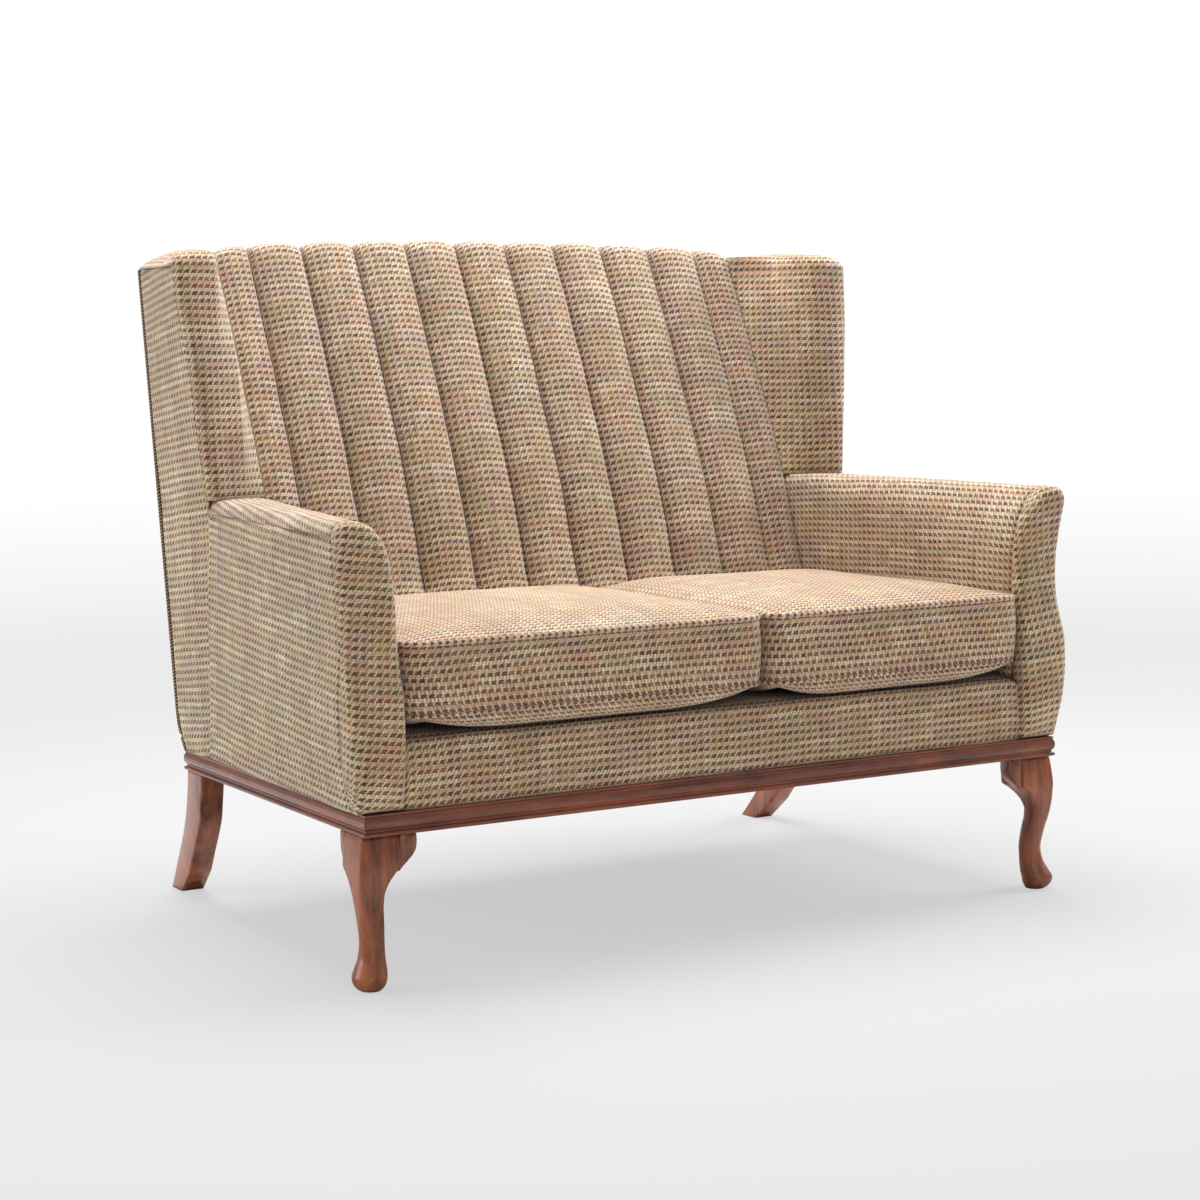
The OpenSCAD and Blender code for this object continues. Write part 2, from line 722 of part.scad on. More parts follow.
module arm_pad() {
    shares = concat([for (i = [0 : 5]) roll_end_share * i / 5],
        [roll_end_share + 0.006, 1]);
    turn = round_steps + 2;
    step = turn + edge_steps + 2;
    color("tan") loft([for (s = shares) arm_section(s)], concat(
        [for (i = [0 : turn - 1]) [i, i + 1, step + 2]],
        [[turn, step, step + 2], [step, step + 1, step + 2]],
        [for (i = [turn : step - 2]) [i, i + 1, step]]));
}

// Front of the arm, over the stump, with its ogee outline

function facing_in_x(z) = let (
        h = arm_round_h,
        t = clamp((z - (arm_h - h)) / h))
    arm_in_front + arm_round_w * (1 - sqrt(1 - t * t));
function facing_out_x(z) = z < seam_z
    ? arm_front_x(z)
    : arm_front_x(seam_z) - arm_edge_r
        * (1 - sqrt(max(0, 1 - pow((z - seam_z) / arm_edge_r, 2))));
function belly_y(z) = arm_front_y - arm_belly * at(arm_shares, 2, arm_t(z));
facing_r = 11;

module arm_facing() {
    function back(z) = z > rail_top ? stump_y - fit : frame_front - fit;
    low = [for (row = arm_shares) let (z = lerp(mould_top, arm_h, row[0]))
        if (row[0] < 0.94) each (row[0] == 0.16
            ? [z, rail_top, rail_top + fit] : [z])];
    high = [for (s = [0, 0.38, 0.66, 0.86, 0.97]) seam_z + arm_edge_r * s];
    rings = [for (z = concat(low, high)) let (
            xi = facing_in_x(z),
            xo = facing_out_x(z),
            top = clamp((z - seam_z) / arm_edge_r),
            yf = belly_y(z) + facing_r * pow(top, 3),
            r = min(facing_r, (xo - xi) / 2.2))
        concat([[xi, back(z), z]],
            [for (i = [0 : 4]) let (a = 180 + 90 * i / 4)
                [xi + r + r * cos(a), yf + r + r * sin(a), z]],
            [for (i = [0 : 4]) let (a = 270 + 90 * i / 4)
                [xo - r + r * cos(a), yf + r + r * sin(a), z]],
            [[xo, back(z), z]])];
    color("tan") loft(rings);
}

// Outside of arm and wing, one cloth

function panel_end(z) = outer_y(z) - piping_d - (z < outer_ref_z ? 4 * cut : cut);

module outside_panel() {
    y0 = stump_y;
    shares = [0, 0.3, 0.65, 1];
    function side(y0, y1, z, some) = [for (t = some) let (y = lerp(y0, y1, t))
        [side_x(y, z) + panel_swell * sin(180 * t), y, z]];
    z_joint = seam_z - fit;
    lows = concat(tuck_zs, [for (i = [1 : 6]) lerp(outer_ref_z, z_joint, i / 6)]);
    highs = concat(wing_zs, [wing_h - fit]);
    low_points = [for (z = lows) let (y1 = panel_end(z)) each concat(
        side(y0, post_foot_y, z, shares),
        side(post_foot_y, y1, z, [0.3, 0.65, 1]),
        [[frame_x, y1, z], [frame_x, y0, z]])];
    high_points = [for (z = highs) let (ya = wing_y(z) + wing_pad, y1 = panel_end(z))
        each concat(side(ya, y1, z, shares), [[frame_x, y1, z], [frame_x, ya, z]])];
    n = 9;
    m = len(lows);
    below = run((m - 2) * n, n);
    joint = run((m - 1) * n, n);
    corner = m * n;
    wing = [joint[3], joint[4], joint[5], joint[6], joint[7], corner];
    last = corner + 1 + (len(highs) - 1) * len(wing);
    color("tan") polyhedron(
        points = concat(low_points, [[frame_x, post_foot_y, z_joint]], high_points),
        faces = concat(
            [[0, 1, 8], [1, 2, 8], [2, 3, 8], [3, 7, 8], [3, 4, 7], [4, 5, 7], [5, 6, 7]],
            skins(0, n, m - 1),
            [for (j = [0 : n - 1]) let (k = (j + 1) % n) if (j != n - 2)
                each [[below[j], joint[j], joint[k]], [below[j], joint[k], below[k]]]],
            [[below[n - 2], joint[n - 2], corner, joint[n - 1], below[n - 1]],
                [joint[n - 1], corner, joint[3], joint[2], joint[1], joint[0]]],
            skin(wing, run(corner + 1, len(wing))),
            skins(corner + 1, len(wing), len(highs)),
            [down(run(last, len(wing)))]),
        convexity = 8);
}

// Wings: inside and front, then the domed top

function wing_ring(z) = let (
        yw = wing_y(z),
        xo = side_x(yw, z),
        yj = stuffed_y(z) - flute_crown,
        sweep = wing_sweep * at(wing_shares, 3, wing_t(z)),
        xm = lerp(flute_end_x, pad_x, wing_mid_share),
        ym = yw + sweep,
        yn = yw + wing_pad * 0.7,
        yk = min(web_y(z), rail_face(z)) - fit,
        yp = yw + wing_pad - fit)
    [for (p = concat(
        [[flute_end_x, yj]],
        [for (s = [0.3, 0.62]) [lerp(flute_end_x, xm, s), lerp(yj, ym, pow(s, 0.78))]],
        [for (s = [0, 0.3, 0.62, 0.97])
            [lerp(xm, pad_x, s), yn + (ym - yn) * pow(1 - s, 1.3)]],
        [[lerp(pad_x, xo, 0.3), yw + wing_pad * 0.2], [xo - arm_edge_r, yw],
            [xo - arm_edge_r / 3, yw + wing_pad / 5], [xo, yp],
            [pad_x, yp], [pad_x, yk], [flute_end_x, yk]])) [p[0], p[1], z]];
wing_mid_share = 0.56;

// Crown over the wing: each level is a size share and a height share
crown_levels = [[1, 0.1], [0.97, 0.35], [0.9, 0.6], [0.76, 0.8], [0.56, 0.93], [0.3, 1]];

module wing_pad() {
    z0 = wing_h;
    y1 = outer_y(z0);
    zs = concat([arm_h + fit], wing_zs, [z0]);
    focus = [lerp(flute_end_x, half_w, 0.8), lerp(wing_front, y1, 0.82)];
    rim = wing_ring(z0);
    shown = len(rim) - 3;
    lid = concat(
        [for (i = [0 : shown - 1]) [rim[i][0], rim[i][1], 1]],
        [for (t = [0.4, 0.75]) let (y = lerp(wing_front, y1, t)) [side_x(y, z0), y, 0.6]],
        [[rear_x, y1, 0.5], [lerp(rear_x, flute_end_x, 0.5), y1, 0.4],
            [flute_end_x, y1, 0.6]]);
    crown = [for (l = crown_levels) each [for (p = lid) let (s = 1 - (1 - l[0]) * p[2])
        [lerp(focus[0], p[0], s), lerp(focus[1], p[1], s), z0 + wing_crown * l[1]]]];
    n = len(rim);
    top = (len(zs) - 1) * n;
    base = concat(run(top, shown), run(top + n, len(lid) - shown));
    first = top + n + len(lid) - shown;
    count = len(lid);
    next = run(first, count);
    end = count - 1;
    l = top + shown - 1;
    b = top + n;
    ridge = first + (len(crown_levels) - 1) * count;
    summit = ridge + count;
    color("tan") polyhedron(
        points = concat([for (z = zs) each wing_ring(z)],
            [for (i = [shown : count - 1]) [lid[i][0], lid[i][1], z0]], crown,
            [[focus[0], focus[1], z0 + wing_crown]]),
        faces = concat(
            [for (j = [0 : 5]) [j, j + 1, 12]], [[0, 12, 13], [6, 11, 12]],
            [for (j = [6 : 9]) [j, j + 1, 11]],
            skins(0, n, len(zs)),
            [[l, b, l + 1], [b, b + 1, l + 1], [b + 1, l + 2, l + 1], [b + 1, b + 2, l + 2],
                [b + 2, b + 3, l + 2], [b + 3, l + 3, l + 2], [b + 3, b + 4, l + 3]],
            [for (j = [0 : end - 1])
                each [[base[j], next[j], next[j + 1]], [base[j], next[j + 1], base[j + 1]]]],
            [[base[end], next[end], l + 3], [next[end], next[0], l + 3],
                [next[0], base[0], l + 3]],
            skins(first, count, len(crown_levels)),
            [for (j = [0 : end]) [summit, ridge + (j + 1) % count, ridge + j]]),
        convexity = 8);
}

// Fluted inside back

flute_steps = 6;
roll_steps = 8;
flute_count = (flutes - 1) / 2;
function flute_d(x) = let (
        t = x / flute_w + flutes / 2,
        f = 2 * (t - floor(t)) - 1)
    flute_crown * pow(max(0, 1 - pow(abs(f), 2.5)), 0.4);
last_seam = (flute_count - 0.5) * flute_w;
function end_t(x) = clamp((abs(x) - last_seam) / (back_half - last_seam));
function top_drop(x) = arch * pow(abs(x) / back_half, 2) + end_drop * pow(end_t(x), 2);

module fluted_inside_back() {
    z0 = seat_z + fit;
    z_rear = back_top - tongue;
    z_sill = back_top + fit;
    side_steps = 4;
    xs = concat(
        [for (s = [0 : side_steps - 1]) lerp(-back_half, -last_seam, s / side_steps)],
        [for (k = [-flute_count + 1 : flute_count - 1], s = [0 : flute_steps - 1])
            (k - 0.5 + (1 - cos(180 * s / flute_steps)) / 2) * flute_w],
        [for (s = [0 : side_steps]) lerp(last_seam, back_half, s / side_steps)]);
    a0 = 180 - back_rake;
    rings = [for (x = xs) let (
            d = flute_d(x),
            zc = roll_z - top_drop(x),
            yc = seam_y(zc) + roll_r / cos(back_rake),
            top_d = lerp(flute_crown * 0.5, d, 0.5) * (1 - pow(end_t(x), 2)))
        concat(
            [[x, web_y(z0) - fit, z0], [x, web_y(top_rail_z) - fit, top_rail_z],
                [x, rail_face(z_sill) - fit, z_sill],
                [x, frame_y(z_sill) + fit, z_sill],
                [x, frame_y(z_rear) + fit, z_rear],
                [x, yc + roll_r, z_rear]],
            [for (i = [0 : roll_steps]) let (
                    b = a0 * i / roll_steps,
                    dd = lerp(top_d, d, clamp((b - 90) / (a0 - 90))) * sin(min(90, b)))
                [x, yc + (roll_r + dd) * cos(b), zc + (roll_r + dd) * sin(b)]],
            [for (s = [0.12, 0.25, 0.38, 0.52, 0.65, 0.77, 1]) let (z = lerp(zc, z0, s))
                [x, stuffed_y(z) - d / cos(back_rake), z]])];
    color("tan") loft(rings, concat(
        [for (k = [15 : 20]) [0, k, k + 1]], [[0, 1, 15], [1, 14, 15], [1, 2, 14]],
        [for (k = [9 : 13]) [2, k, k + 1]], [[2, 3, 9]],
        [for (k = [5 : 8]) [3, k, k + 1]], [[3, 4, 5]]));
}

// Outside back, from the moulding up to the roll and the wings

module outside_back() {
    half = half_w - set_in - fit;
    z1 = back_top - tongue - fit;
    zw = wing_h - fit;
    color("tan") difference() {
        side_board(-half, half, concat(
            [for (z = tuck_zs) [outer_y(z), z]],
            [[outer_y(zw), zw], [frame_y(zw) + fit, zw]],
            [for (i = [len(tuck_zs) - 1 : -1 : 0]) [frame_y(tuck_zs[i]) + fit, tuck_zs[i]]]));
        block(-flute_end_x, flute_end_x, rear_y, rear_reach + back_over, z1, back_h);
    }
}

// Piping on the rear edges, from the moulding to the top of the wings

module back_edge_piping() {
    x = half_w - set_in + piping_d / 2;
    r = piping_d / 2;
    zs = concat([mould_top + fit], [for (i = [1 : len(tuck_zs) - 1]) tuck_zs[i]],
        [wing_h - fit]);
    // The ring is longer where the edge leans, so that the cord stays round
    rings = [for (z = zs) let (
            lean = (outer_y(z + cut) - outer_y(z - cut)) / (2 * cut),
            ry = r * min(sqrt(1 + lean * lean), 1.3))
        [for (k = [0 : 9]) [x + r * cos(36 * k), outer_y(z) - r - fit + ry * sin(36 * k), z]]];
    color("sienna") {
        loft(rings);
        flip_x() loft(rings);
    }
}

// Loose seat cushions. Each row is a size share and a height share

belly_shares = [[0.80, 0], [0.90, 0.06], [0.955, 0.32], [0.98, 0.72]];
side_shares = [[0.985, 0], [0.998, 0.12], [1, 0.5], [0.998, 0.88], [0.985, 1]];
crown_shares = [[0.97, 0.12], [0.90, 0.38], [0.76, 0.66], [0.56, 0.86], [0.32, 0.97],
    [0.12, 1]];
ring_points = 44;
square_share = 18;

function oval(a, n) = [sgn(cos(a)) * pow(abs(cos(a)), 2 / n),
    sgn(sin(a)) * pow(abs(sin(a)), 2 / n)];
function cushion_back(z) = seam_y(z) - flute_crown / cos(back_rake) - cut;

// Plan of a cushion between the split at x0 and the arm
function cushion_point(c, x0, side, z) = let (
        y = lerp(-half_d - cushion_over, cushion_back(z), (c[1] + 1) / 2),
        x1 = side * (arm_in_x(y) - cut))
    [lerp(x0, x1, (side * c[0] + 1) / 2), y, z];

function cushion_ring(s, z, side) = [for (k = [0 : ring_points - 1])
    cushion_point(s * oval(360 * (k + 0.5) / ring_points, square_share),
        cushion_split + side * cushion_gap / 2, side, z)];

module cushion(side) {
    rings = concat(
        [for (b = belly_shares)
            cushion_ring(b[0], lerp(seat_z + fit, seam_low, b[1]), side)],
        [for (b = side_shares) cushion_ring(b[0], lerp(seam_low, seam_high, b[1]), side)],
        [for (b = crown_shares)
            cushion_ring(b[0], seam_high + cushion_crown * b[1], side)]);
    color("tan") loft(rings);
}

// Everything stands centred front to back
module place() {
    translate([0, -middle_y, 0]) children();
}

place() front_seat_rail();
place() back_seat_rail();
place() flip_x() side_rail();  // left_seat_rail
place() side_rail();  // right_seat_rail
place() centre_seat_rail();
place() corner_blocks();
place() flip_x() back_post();  // left_back_post
place() back_post();  // right_back_post
place() centre_back_post();
place() flip_x() back_stile();  // left_back_stile
place() back_stile();  // right_back_stile
place() top_back_rail();
place() lower_back_rail();
place() flip_x() arm_stump();  // left_arm_stump
place() arm_stump();  // right_arm_stump
place() flip_x() arm_rail();  // left_arm_rail
place() arm_rail();  // right_arm_rail
place() flip_x() arm_tacking_rail();  // left_arm_tacking_rail
place() arm_tacking_rail();  // right_arm_tacking_rail
place() flip_x() wing_post();  // left_wing_post
place() wing_post();  // right_wing_post
place() flip_x() wing_rail();  // left_wing_rail
place() wing_rail();  // right_wing_rail
place() seat_springs();
place() spring_clips();
place() seat_platform();
place() back_webbing();
place() moulding_front();
place() moulding_back();
place() flip_x() moulding_side();  // moulding_left
place() moulding_side();  // moulding_right
place() flip_x() cabriole_leg();  // front_left_leg
place() cabriole_leg();  // front_right_leg
place() flip_x() leg_ears();  // front_left_leg_ears
place() leg_ears();  // front_right_leg_ears
place() flip_x() rear_leg();  // rear_left_leg
place() rear_leg();  // rear_right_leg
place() leg_bolts();
place() dust_cover();
place() front_border();
place() flip_x() arm_facing();  // left_arm_facing
place() arm_facing();  // right_arm_facing
place() flip_x() arm_pad();  // left_arm_pad
place() arm_pad();  // right_arm_pad
place() flip_x() wing_pad();  // left_wing_pad
place() wing_pad();  // right_wing_pad
place() flip_x() outside_panel();  // left_outside_panel
place() outside_panel();  // right_outside_panel
place() fluted_inside_back();
place() outside_back();
place() back_edge_piping();
place() cushion(-1);  // left_seat_cushion
place() cushion(1);  // right_seat_cushion
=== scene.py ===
import math

import bmesh
import bpy
import numpy as np
from mathutils import Matrix, Vector, noise


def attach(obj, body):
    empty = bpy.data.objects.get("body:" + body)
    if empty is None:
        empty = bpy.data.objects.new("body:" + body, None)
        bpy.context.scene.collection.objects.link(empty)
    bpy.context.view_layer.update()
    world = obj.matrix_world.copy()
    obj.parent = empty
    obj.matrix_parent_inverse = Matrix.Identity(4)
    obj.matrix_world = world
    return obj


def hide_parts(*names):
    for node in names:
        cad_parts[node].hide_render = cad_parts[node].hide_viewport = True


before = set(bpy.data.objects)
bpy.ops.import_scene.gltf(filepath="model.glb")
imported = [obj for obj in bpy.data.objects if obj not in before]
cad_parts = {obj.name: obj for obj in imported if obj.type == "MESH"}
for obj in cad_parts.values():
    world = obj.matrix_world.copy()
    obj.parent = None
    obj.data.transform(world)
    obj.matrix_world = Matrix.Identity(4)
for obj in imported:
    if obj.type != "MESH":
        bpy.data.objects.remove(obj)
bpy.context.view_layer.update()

# Sizes, in millimetres

HALF_W, HALF_D = 608.0, 332.5
LEG_H, MOULD_H = 217.0, 31.0
MOULD_TOP = LEG_H + MOULD_H
RAIL_TOP = 332.0
SEAT_Z = 344.9
SEAM_LOW, SEAM_HIGH = 375.9, 475.9
CROWN = 26.0
SPLIT = 60.0
ARM_H, ARM_EDGE, SEAM_Z = 647.0, 20.0, 627.0
STUMP_Y, FRAME_FRONT = -300.5, -312.5
PAD_X, FRAME_X = 559.7, 588.0
ARM_IN_FRONT, ARM_IN_BACK, ARM_BACK_Y = 542.0, 492.0, 216.0
POST_FOOT_Y = 230.0
WING_H, WING_FRONT, WING_LEAN, WING_PAD = 1003.0, 255.0, 39.0, 14.0
BACK_HALF, FLUTE_END, FLUTE_W, LAST_SEAM = 491.0, 491.3, 95.0, 427.5
FLUTE_CROWN, ROLL_R, ROLL_Z = 13.0, 18.0, 1024.0
RAKE = math.radians(23.6)
MIDDLE_Y = 70.73
PIPING = 7.0
FIT = 0.3
SET_IN = 8.0
ARM_ROUND_W, ARM_ROUND_H = 60.0, 130.0


# Curves through tables

def curve(xs, ys, loose=False):
    """A smooth line through points; it doesn't overshoot them unless it is loose."""
    xs, ys = np.array(xs, float), np.array(ys, float)
    h = np.diff(xs)
    s = np.diff(ys) / h
    m = np.zeros(len(xs))
    m[0], m[-1] = s[0], s[-1]
    if loose:
        m[1:-1] = (ys[2:] - ys[:-2]) / (xs[2:] - xs[:-2])
    else:
        for k in range(1, len(xs) - 1):
            if s[k - 1] * s[k] > 0:
                a, b = 2 * h[k] + h[k - 1], h[k] + 2 * h[k - 1]
                m[k] = (a + b) / (a / s[k - 1] + b / s[k])

    def value(x):
        x = np.clip(x, xs[0], xs[-1])
        k = np.clip(np.searchsorted(xs, x) - 1, 0, len(h) - 1)
        t = (x - xs[k]) / h[k]
        return ((1 + 2 * t) * (1 - t) ** 2 * ys[k] + t * (1 - t) ** 2 * h[k] * m[k]
                + t * t * (3 - 2 * t) * ys[k + 1] + t * t * (t - 1) * h[k] * m[k + 1])
    return value


def run_of(points):
    """Length along a line at each of its points."""
    return np.concatenate([[0], np.cumsum(np.linalg.norm(np.diff(points, axis=0), axis=1))])


def along(points, count):
    """Even steps along the smooth line through a few points."""
    points = np.array(points, float)
    chord = run_of(points)
    lines = [curve(chord, points[:, k], loose=True) for k in range(points.shape[1])]
    fine = np.stack([line(np.linspace(0, chord[-1], count * 6)) for line in lines], -1)
    run = run_of(fine)
    t = np.linspace(0, run[-1], count)
    return np.stack([np.interp(t, run, fine[:, k]) for k in range(points.shape[1])], -1)


def blend(a, b, t):
    return a + (b - a) * t


# The settee's own lines

ARM_TABLE = np.array([
    [0.00, 0.28, 0.50], [0.05, 0.42, 0.66], [0.10, 0.55, 0.79], [0.16, 0.67, 0.92],
    [0.27, 0.77, 1.00], [0.40, 0.81, 0.84], [0.48, 0.75, 0.50], [0.574, 0.68, 0.17],
    [0.65, 0.71, 0.04], [0.73, 0.79, 0.00], [0.80, 0.88, 0.09], [0.87, 0.95, 0.26],
    [0.95, 1.00, 0.46], [1.00, 1.00, 0.46]])
WING_TABLE = np.array([
    [0.00, 1.00, 0.00, 0.22], [0.36, 0.72, 0.36, 0.21], [0.61, 0.51, 0.59, 0.27],
    [0.72, 0.36, 0.76, 0.37], [0.81, 0.21, 0.885, 0.48], [0.89, 0.11, 0.95, 0.62],
    [0.95, 0.04, 0.98, 0.80], [1.00, 0.00, 1.00, 1.00]])
LEG_TABLE = np.array([
    [0.00, 0.30, 0.74, 0.52], [0.02, 0.42, 0.98, 0.70], [0.05, 0.53, 1.15, 0.84],
    [0.086, 0.58, 1.21, 0.895], [0.136, 0.63, 1.04, 0.835], [0.21, 0.625, 0.755, 0.69],
    [0.31, 0.636, 0.636, 0.636], [0.39, 0.60, 0.70, 0.60], [0.468, 0.53, 0.79, 0.545],
    [0.54, 0.45, 0.89, 0.47], [0.60, 0.436, 0.95, 0.40], [0.655, 0.53, 0.985, 0.34],
    [0.705, 0.727, 1.00, 0.29], [0.75, 1.00, 1.00, 0.24], [0.79, 1.27, 0.99, 0.18],
    [0.90, 1.27, 0.90, 0.14], [1.00, 1.27, 0.78, 0.11]])
REAR_TABLE = np.array([
    [0, 1, 0], [0.10, 0.87, 0.5], [0.20, 0.75, 1], [0.35, 0.565, 0.95], [0.52, 0.37, 1.1],
    [0.64, 0.25, 1.2], [0.745, 0.17, 1.1], [0.87, 0.08, 1.05], [1, 0.01, 1.05]])

arm_swell = curve(ARM_TABLE[:, 0], ARM_TABLE[:, 1])
arm_belly = curve(ARM_TABLE[:, 0], ARM_TABLE[:, 2])
wing_lean = curve(WING_TABLE[:, 0], WING_TABLE[:, 1])
wing_flare = curve(WING_TABLE[:, 0], WING_TABLE[:, 2])
wing_sweep = curve(WING_TABLE[:, 0], WING_TABLE[:, 3])
tuck = curve([0, 0.2, 0.42, 0.7, 1], [0.05, 0.34, 0.62, 0.86, 1])
stuffing = curve([0, 0.12, 0.25, 0.4, 0.56, 0.72, 0.88, 1],
                 [0, 0.5, 0.87, 1, 0.85, 0.68, 0.4, 0])


def seam_y(z):
    return 208 + math.tan(RAKE) * (z - 479)


def stuffed_y(z):
    low = SEAM_HIGH + CROWN
    return seam_y(z) - 15 * stuffing(np.clip((z - low) / (ROLL_Z - low), 0, 1))


def web_y(z):
    return seam_y(z) + 16


def outer_y(z):
    turn = RAIL_TOP - 28
    z = np.asarray(z, float)
    return np.where(z < turn, HALF_D + 34 * tuck((z - MOULD_TOP) / (turn - MOULD_TOP)),
                    HALF_D + 34 + math.tan(math.radians(9)) * (z - turn))


def arm_t(z):
    return np.clip((z - MOULD_TOP) / (ARM_H - MOULD_TOP), 0, 1)


def arm_run(y):
    return np.clip((y - STUMP_Y) / (ARM_BACK_Y - STUMP_Y), 0, 1)


def arm_in_x(y):
    return blend(ARM_IN_FRONT, ARM_IN_BACK, arm_run(y))


def arm_front_x(z):
    return HALF_W - 4 + 28.5 * arm_swell(arm_t(z))


def waist_x(z):
    return HALF_W - 4 - 9 * arm_t(z)


def wing_t(z):
    return np.clip((z - SEAM_Z) / (WING_H - SEAM_Z), 0, 1)


def wing_y(z):
    return WING_FRONT - WING_LEAN * wing_lean(wing_t(z))


def side_x(y, z):
    """Outer face of the arm and of the wing at any depth and height."""
    y, z = np.broadcast_arrays(np.asarray(y, float), np.asarray(z, float))
    rear = HALF_W - 2
    to_back = np.clip((y - ARM_BACK_Y) / (outer_y(z) - ARM_BACK_Y), 0, 1)
    low = np.where(y < ARM_BACK_Y, blend(arm_front_x(z), waist_x(z), arm_run(y)),
                   blend(waist_x(z), rear, to_back))
    front = blend(waist_x(SEAM_Z), HALF_W + 19.5, wing_flare(wing_t(z)))
    high = blend(front, rear, np.clip((y - wing_y(z)) / (outer_y(z) - wing_y(z)), 0, 1))
    return np.where(z > SEAM_Z, high, low)


# Making a piece

def metres(p):
    p = np.asarray(p, float)
    return np.stack([p[..., 0], p[..., 1] - MIDDLE_Y, p[..., 2]], -1) * 0.001


def lay(bm, uv_layer, rows, cloth):
    """Lays a square grid over rows of points and gives it its place on the cloth."""
    rows, cloth = metres(rows), np.asarray(cloth, float) * 0.001
    m, n = rows.shape[:2]
    made = bmesh.ops.create_grid(bm, x_segments=n - 1, y_segments=m - 1, size=1.0)["verts"]
    seat = {}
    for v in made:
        seat[v] = (round((v.co.y + 1) / 2 * (m - 1)), round((v.co.x + 1) / 2 * (n - 1)))
    for v, (i, j) in seat.items():
        v.co = rows[i, j]
    for face in {f for v in made for f in v.link_faces}:
        for loop in face.loops:
            loop[uv_layer].uv = cloth[seat[loop.vert]]


def arc(rows, axis):
    """Length along the grid from its first row or column, in millimetres."""
    step = np.linalg.norm(np.diff(rows, axis=axis), axis=-1)
    total = np.cumsum(step, axis=axis)
    first = np.zeros_like(np.take(total, [0], axis=axis))
    return np.concatenate([first, total], axis=axis)


def cloth_of(rows):
    """Place on the cloth from the lengths along both directions of a grid."""
    u, v = arc(rows, 1), arc(rows, 0)
    u = u - u[:, [u.shape[1] // 2]]
    return np.stack([u, np.broadcast_to(v[:, [v.shape[1] // 2]], u.shape)], -1)


def soften(bm, amount, size, seed=0.0):
    """Small uneven swellings of the stuffing, the same on each run."""
    bm.normal_update()
    for v in bm.verts:
        p = v.co / size + Vector((seed, 2.3 * seed, 0.7 * seed))
        v.co += v.normal * (noise.noise(p) * amount)


def placed(name, data):
    """An object at the origin of the scene."""
    obj = bpy.data.objects.new(name, data)
    bpy.context.scene.collection.objects.link(obj)
    return obj


def piece(name, grids, material, body="settee", node=None,
          flip=False, uneven=(0.0, 0.08), thick=0.0):
    """A finished object from grids of points, (rows, place on the cloth), at the origin."""
    bm = bmesh.new()
    uv_layer = bm.loops.layers.uv.new("cloth")
    for rows, cloth in grids:
        lay(bm, uv_layer, rows, cloth)
    bmesh.ops.remove_doubles(bm, verts=bm.verts, dist=0.00004)
    if not thick:
        bmesh.ops.holes_fill(bm, edges=[e for e in bm.edges if e.is_boundary], sides=0)
    if flip:
        for v in bm.verts:
            v.co.x = -v.co.x
        # the cloth isn't mirrored: its checks lean the same way on both sides
        for face in bm.faces:
            for loop in face.loops:
                loop[uv_layer].uv.x = -loop[uv_layer].uv.x
    bmesh.ops.recalc_face_normals(bm, faces=bm.faces)
    if uneven[0]:
        soften(bm, uneven[0] * 0.001, uneven[1], 3.1 if flip else 1.7)
    for face in bm.faces:
        face.smooth = True
    mesh = bpy.data.meshes.new(name)
    bm.to_mesh(mesh)
    bm.free()
    obj = placed(name, mesh)
    mesh.materials.append(material)
    if thick:
        shell = obj.modifiers.new("thickness", "SOLIDIFY")
        shell.thickness, shell.offset = thick * 0.001, -1
    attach(obj, body)
    if node:
        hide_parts(node)


def tube(points, radius, around, closed=False):
    """Rows of a cord along points, with its length and girth as place on the cloth."""
    points = np.asarray(points, float)
    ahead = np.roll(points, -1, 0) - np.roll(points, 1, 0) if closed else np.gradient(points, axis=0)
    ahead /= np.linalg.norm(ahead, axis=1)[:, None]
    up = np.where(abs(ahead[:, [2]]) > 0.8, [[0.0, 1.0, 0.0]], [[0.0, 0.0, 1.0]])
    side = np.cross(ahead, up)
    side /= np.linalg.norm(side, axis=1)[:, None]
    up = np.cross(side, ahead)
    a = np.linspace(0, 2 * math.pi, around + 1)
    rows = (points[:, None] + radius * (np.cos(a)[None, :, None] * side[:, None]
                                        + np.sin(a)[None, :, None] * up[:, None]))
    if closed:
        rows = np.concatenate([rows, rows[:1]])
        points = np.concatenate([points, points[:1]])
    run = run_of(points)
    cloth = np.stack(np.broadcast_arrays(a[None, :] * radius, run[:, None]), -1)
    return rows, cloth


# Shader groups

def group(name, inputs, outputs):
    tree = bpy.data.node_groups.new(name, "ShaderNodeTree")
    for label, kind, value in inputs:
        socket = tree.interface.new_socket(label, in_out="INPUT", socket_type=kind)
        if value is not None:
            socket.default_value = value
    for label, kind in outputs:
        tree.interface.new_socket(label, in_out="OUTPUT", socket_type=kind)
    return tree, tree.nodes.new("NodeGroupInput"), tree.nodes.new("NodeGroupOutput")


def put(node, values):
    for socket, value in values.items():
        node.inputs[socket].default_value = value


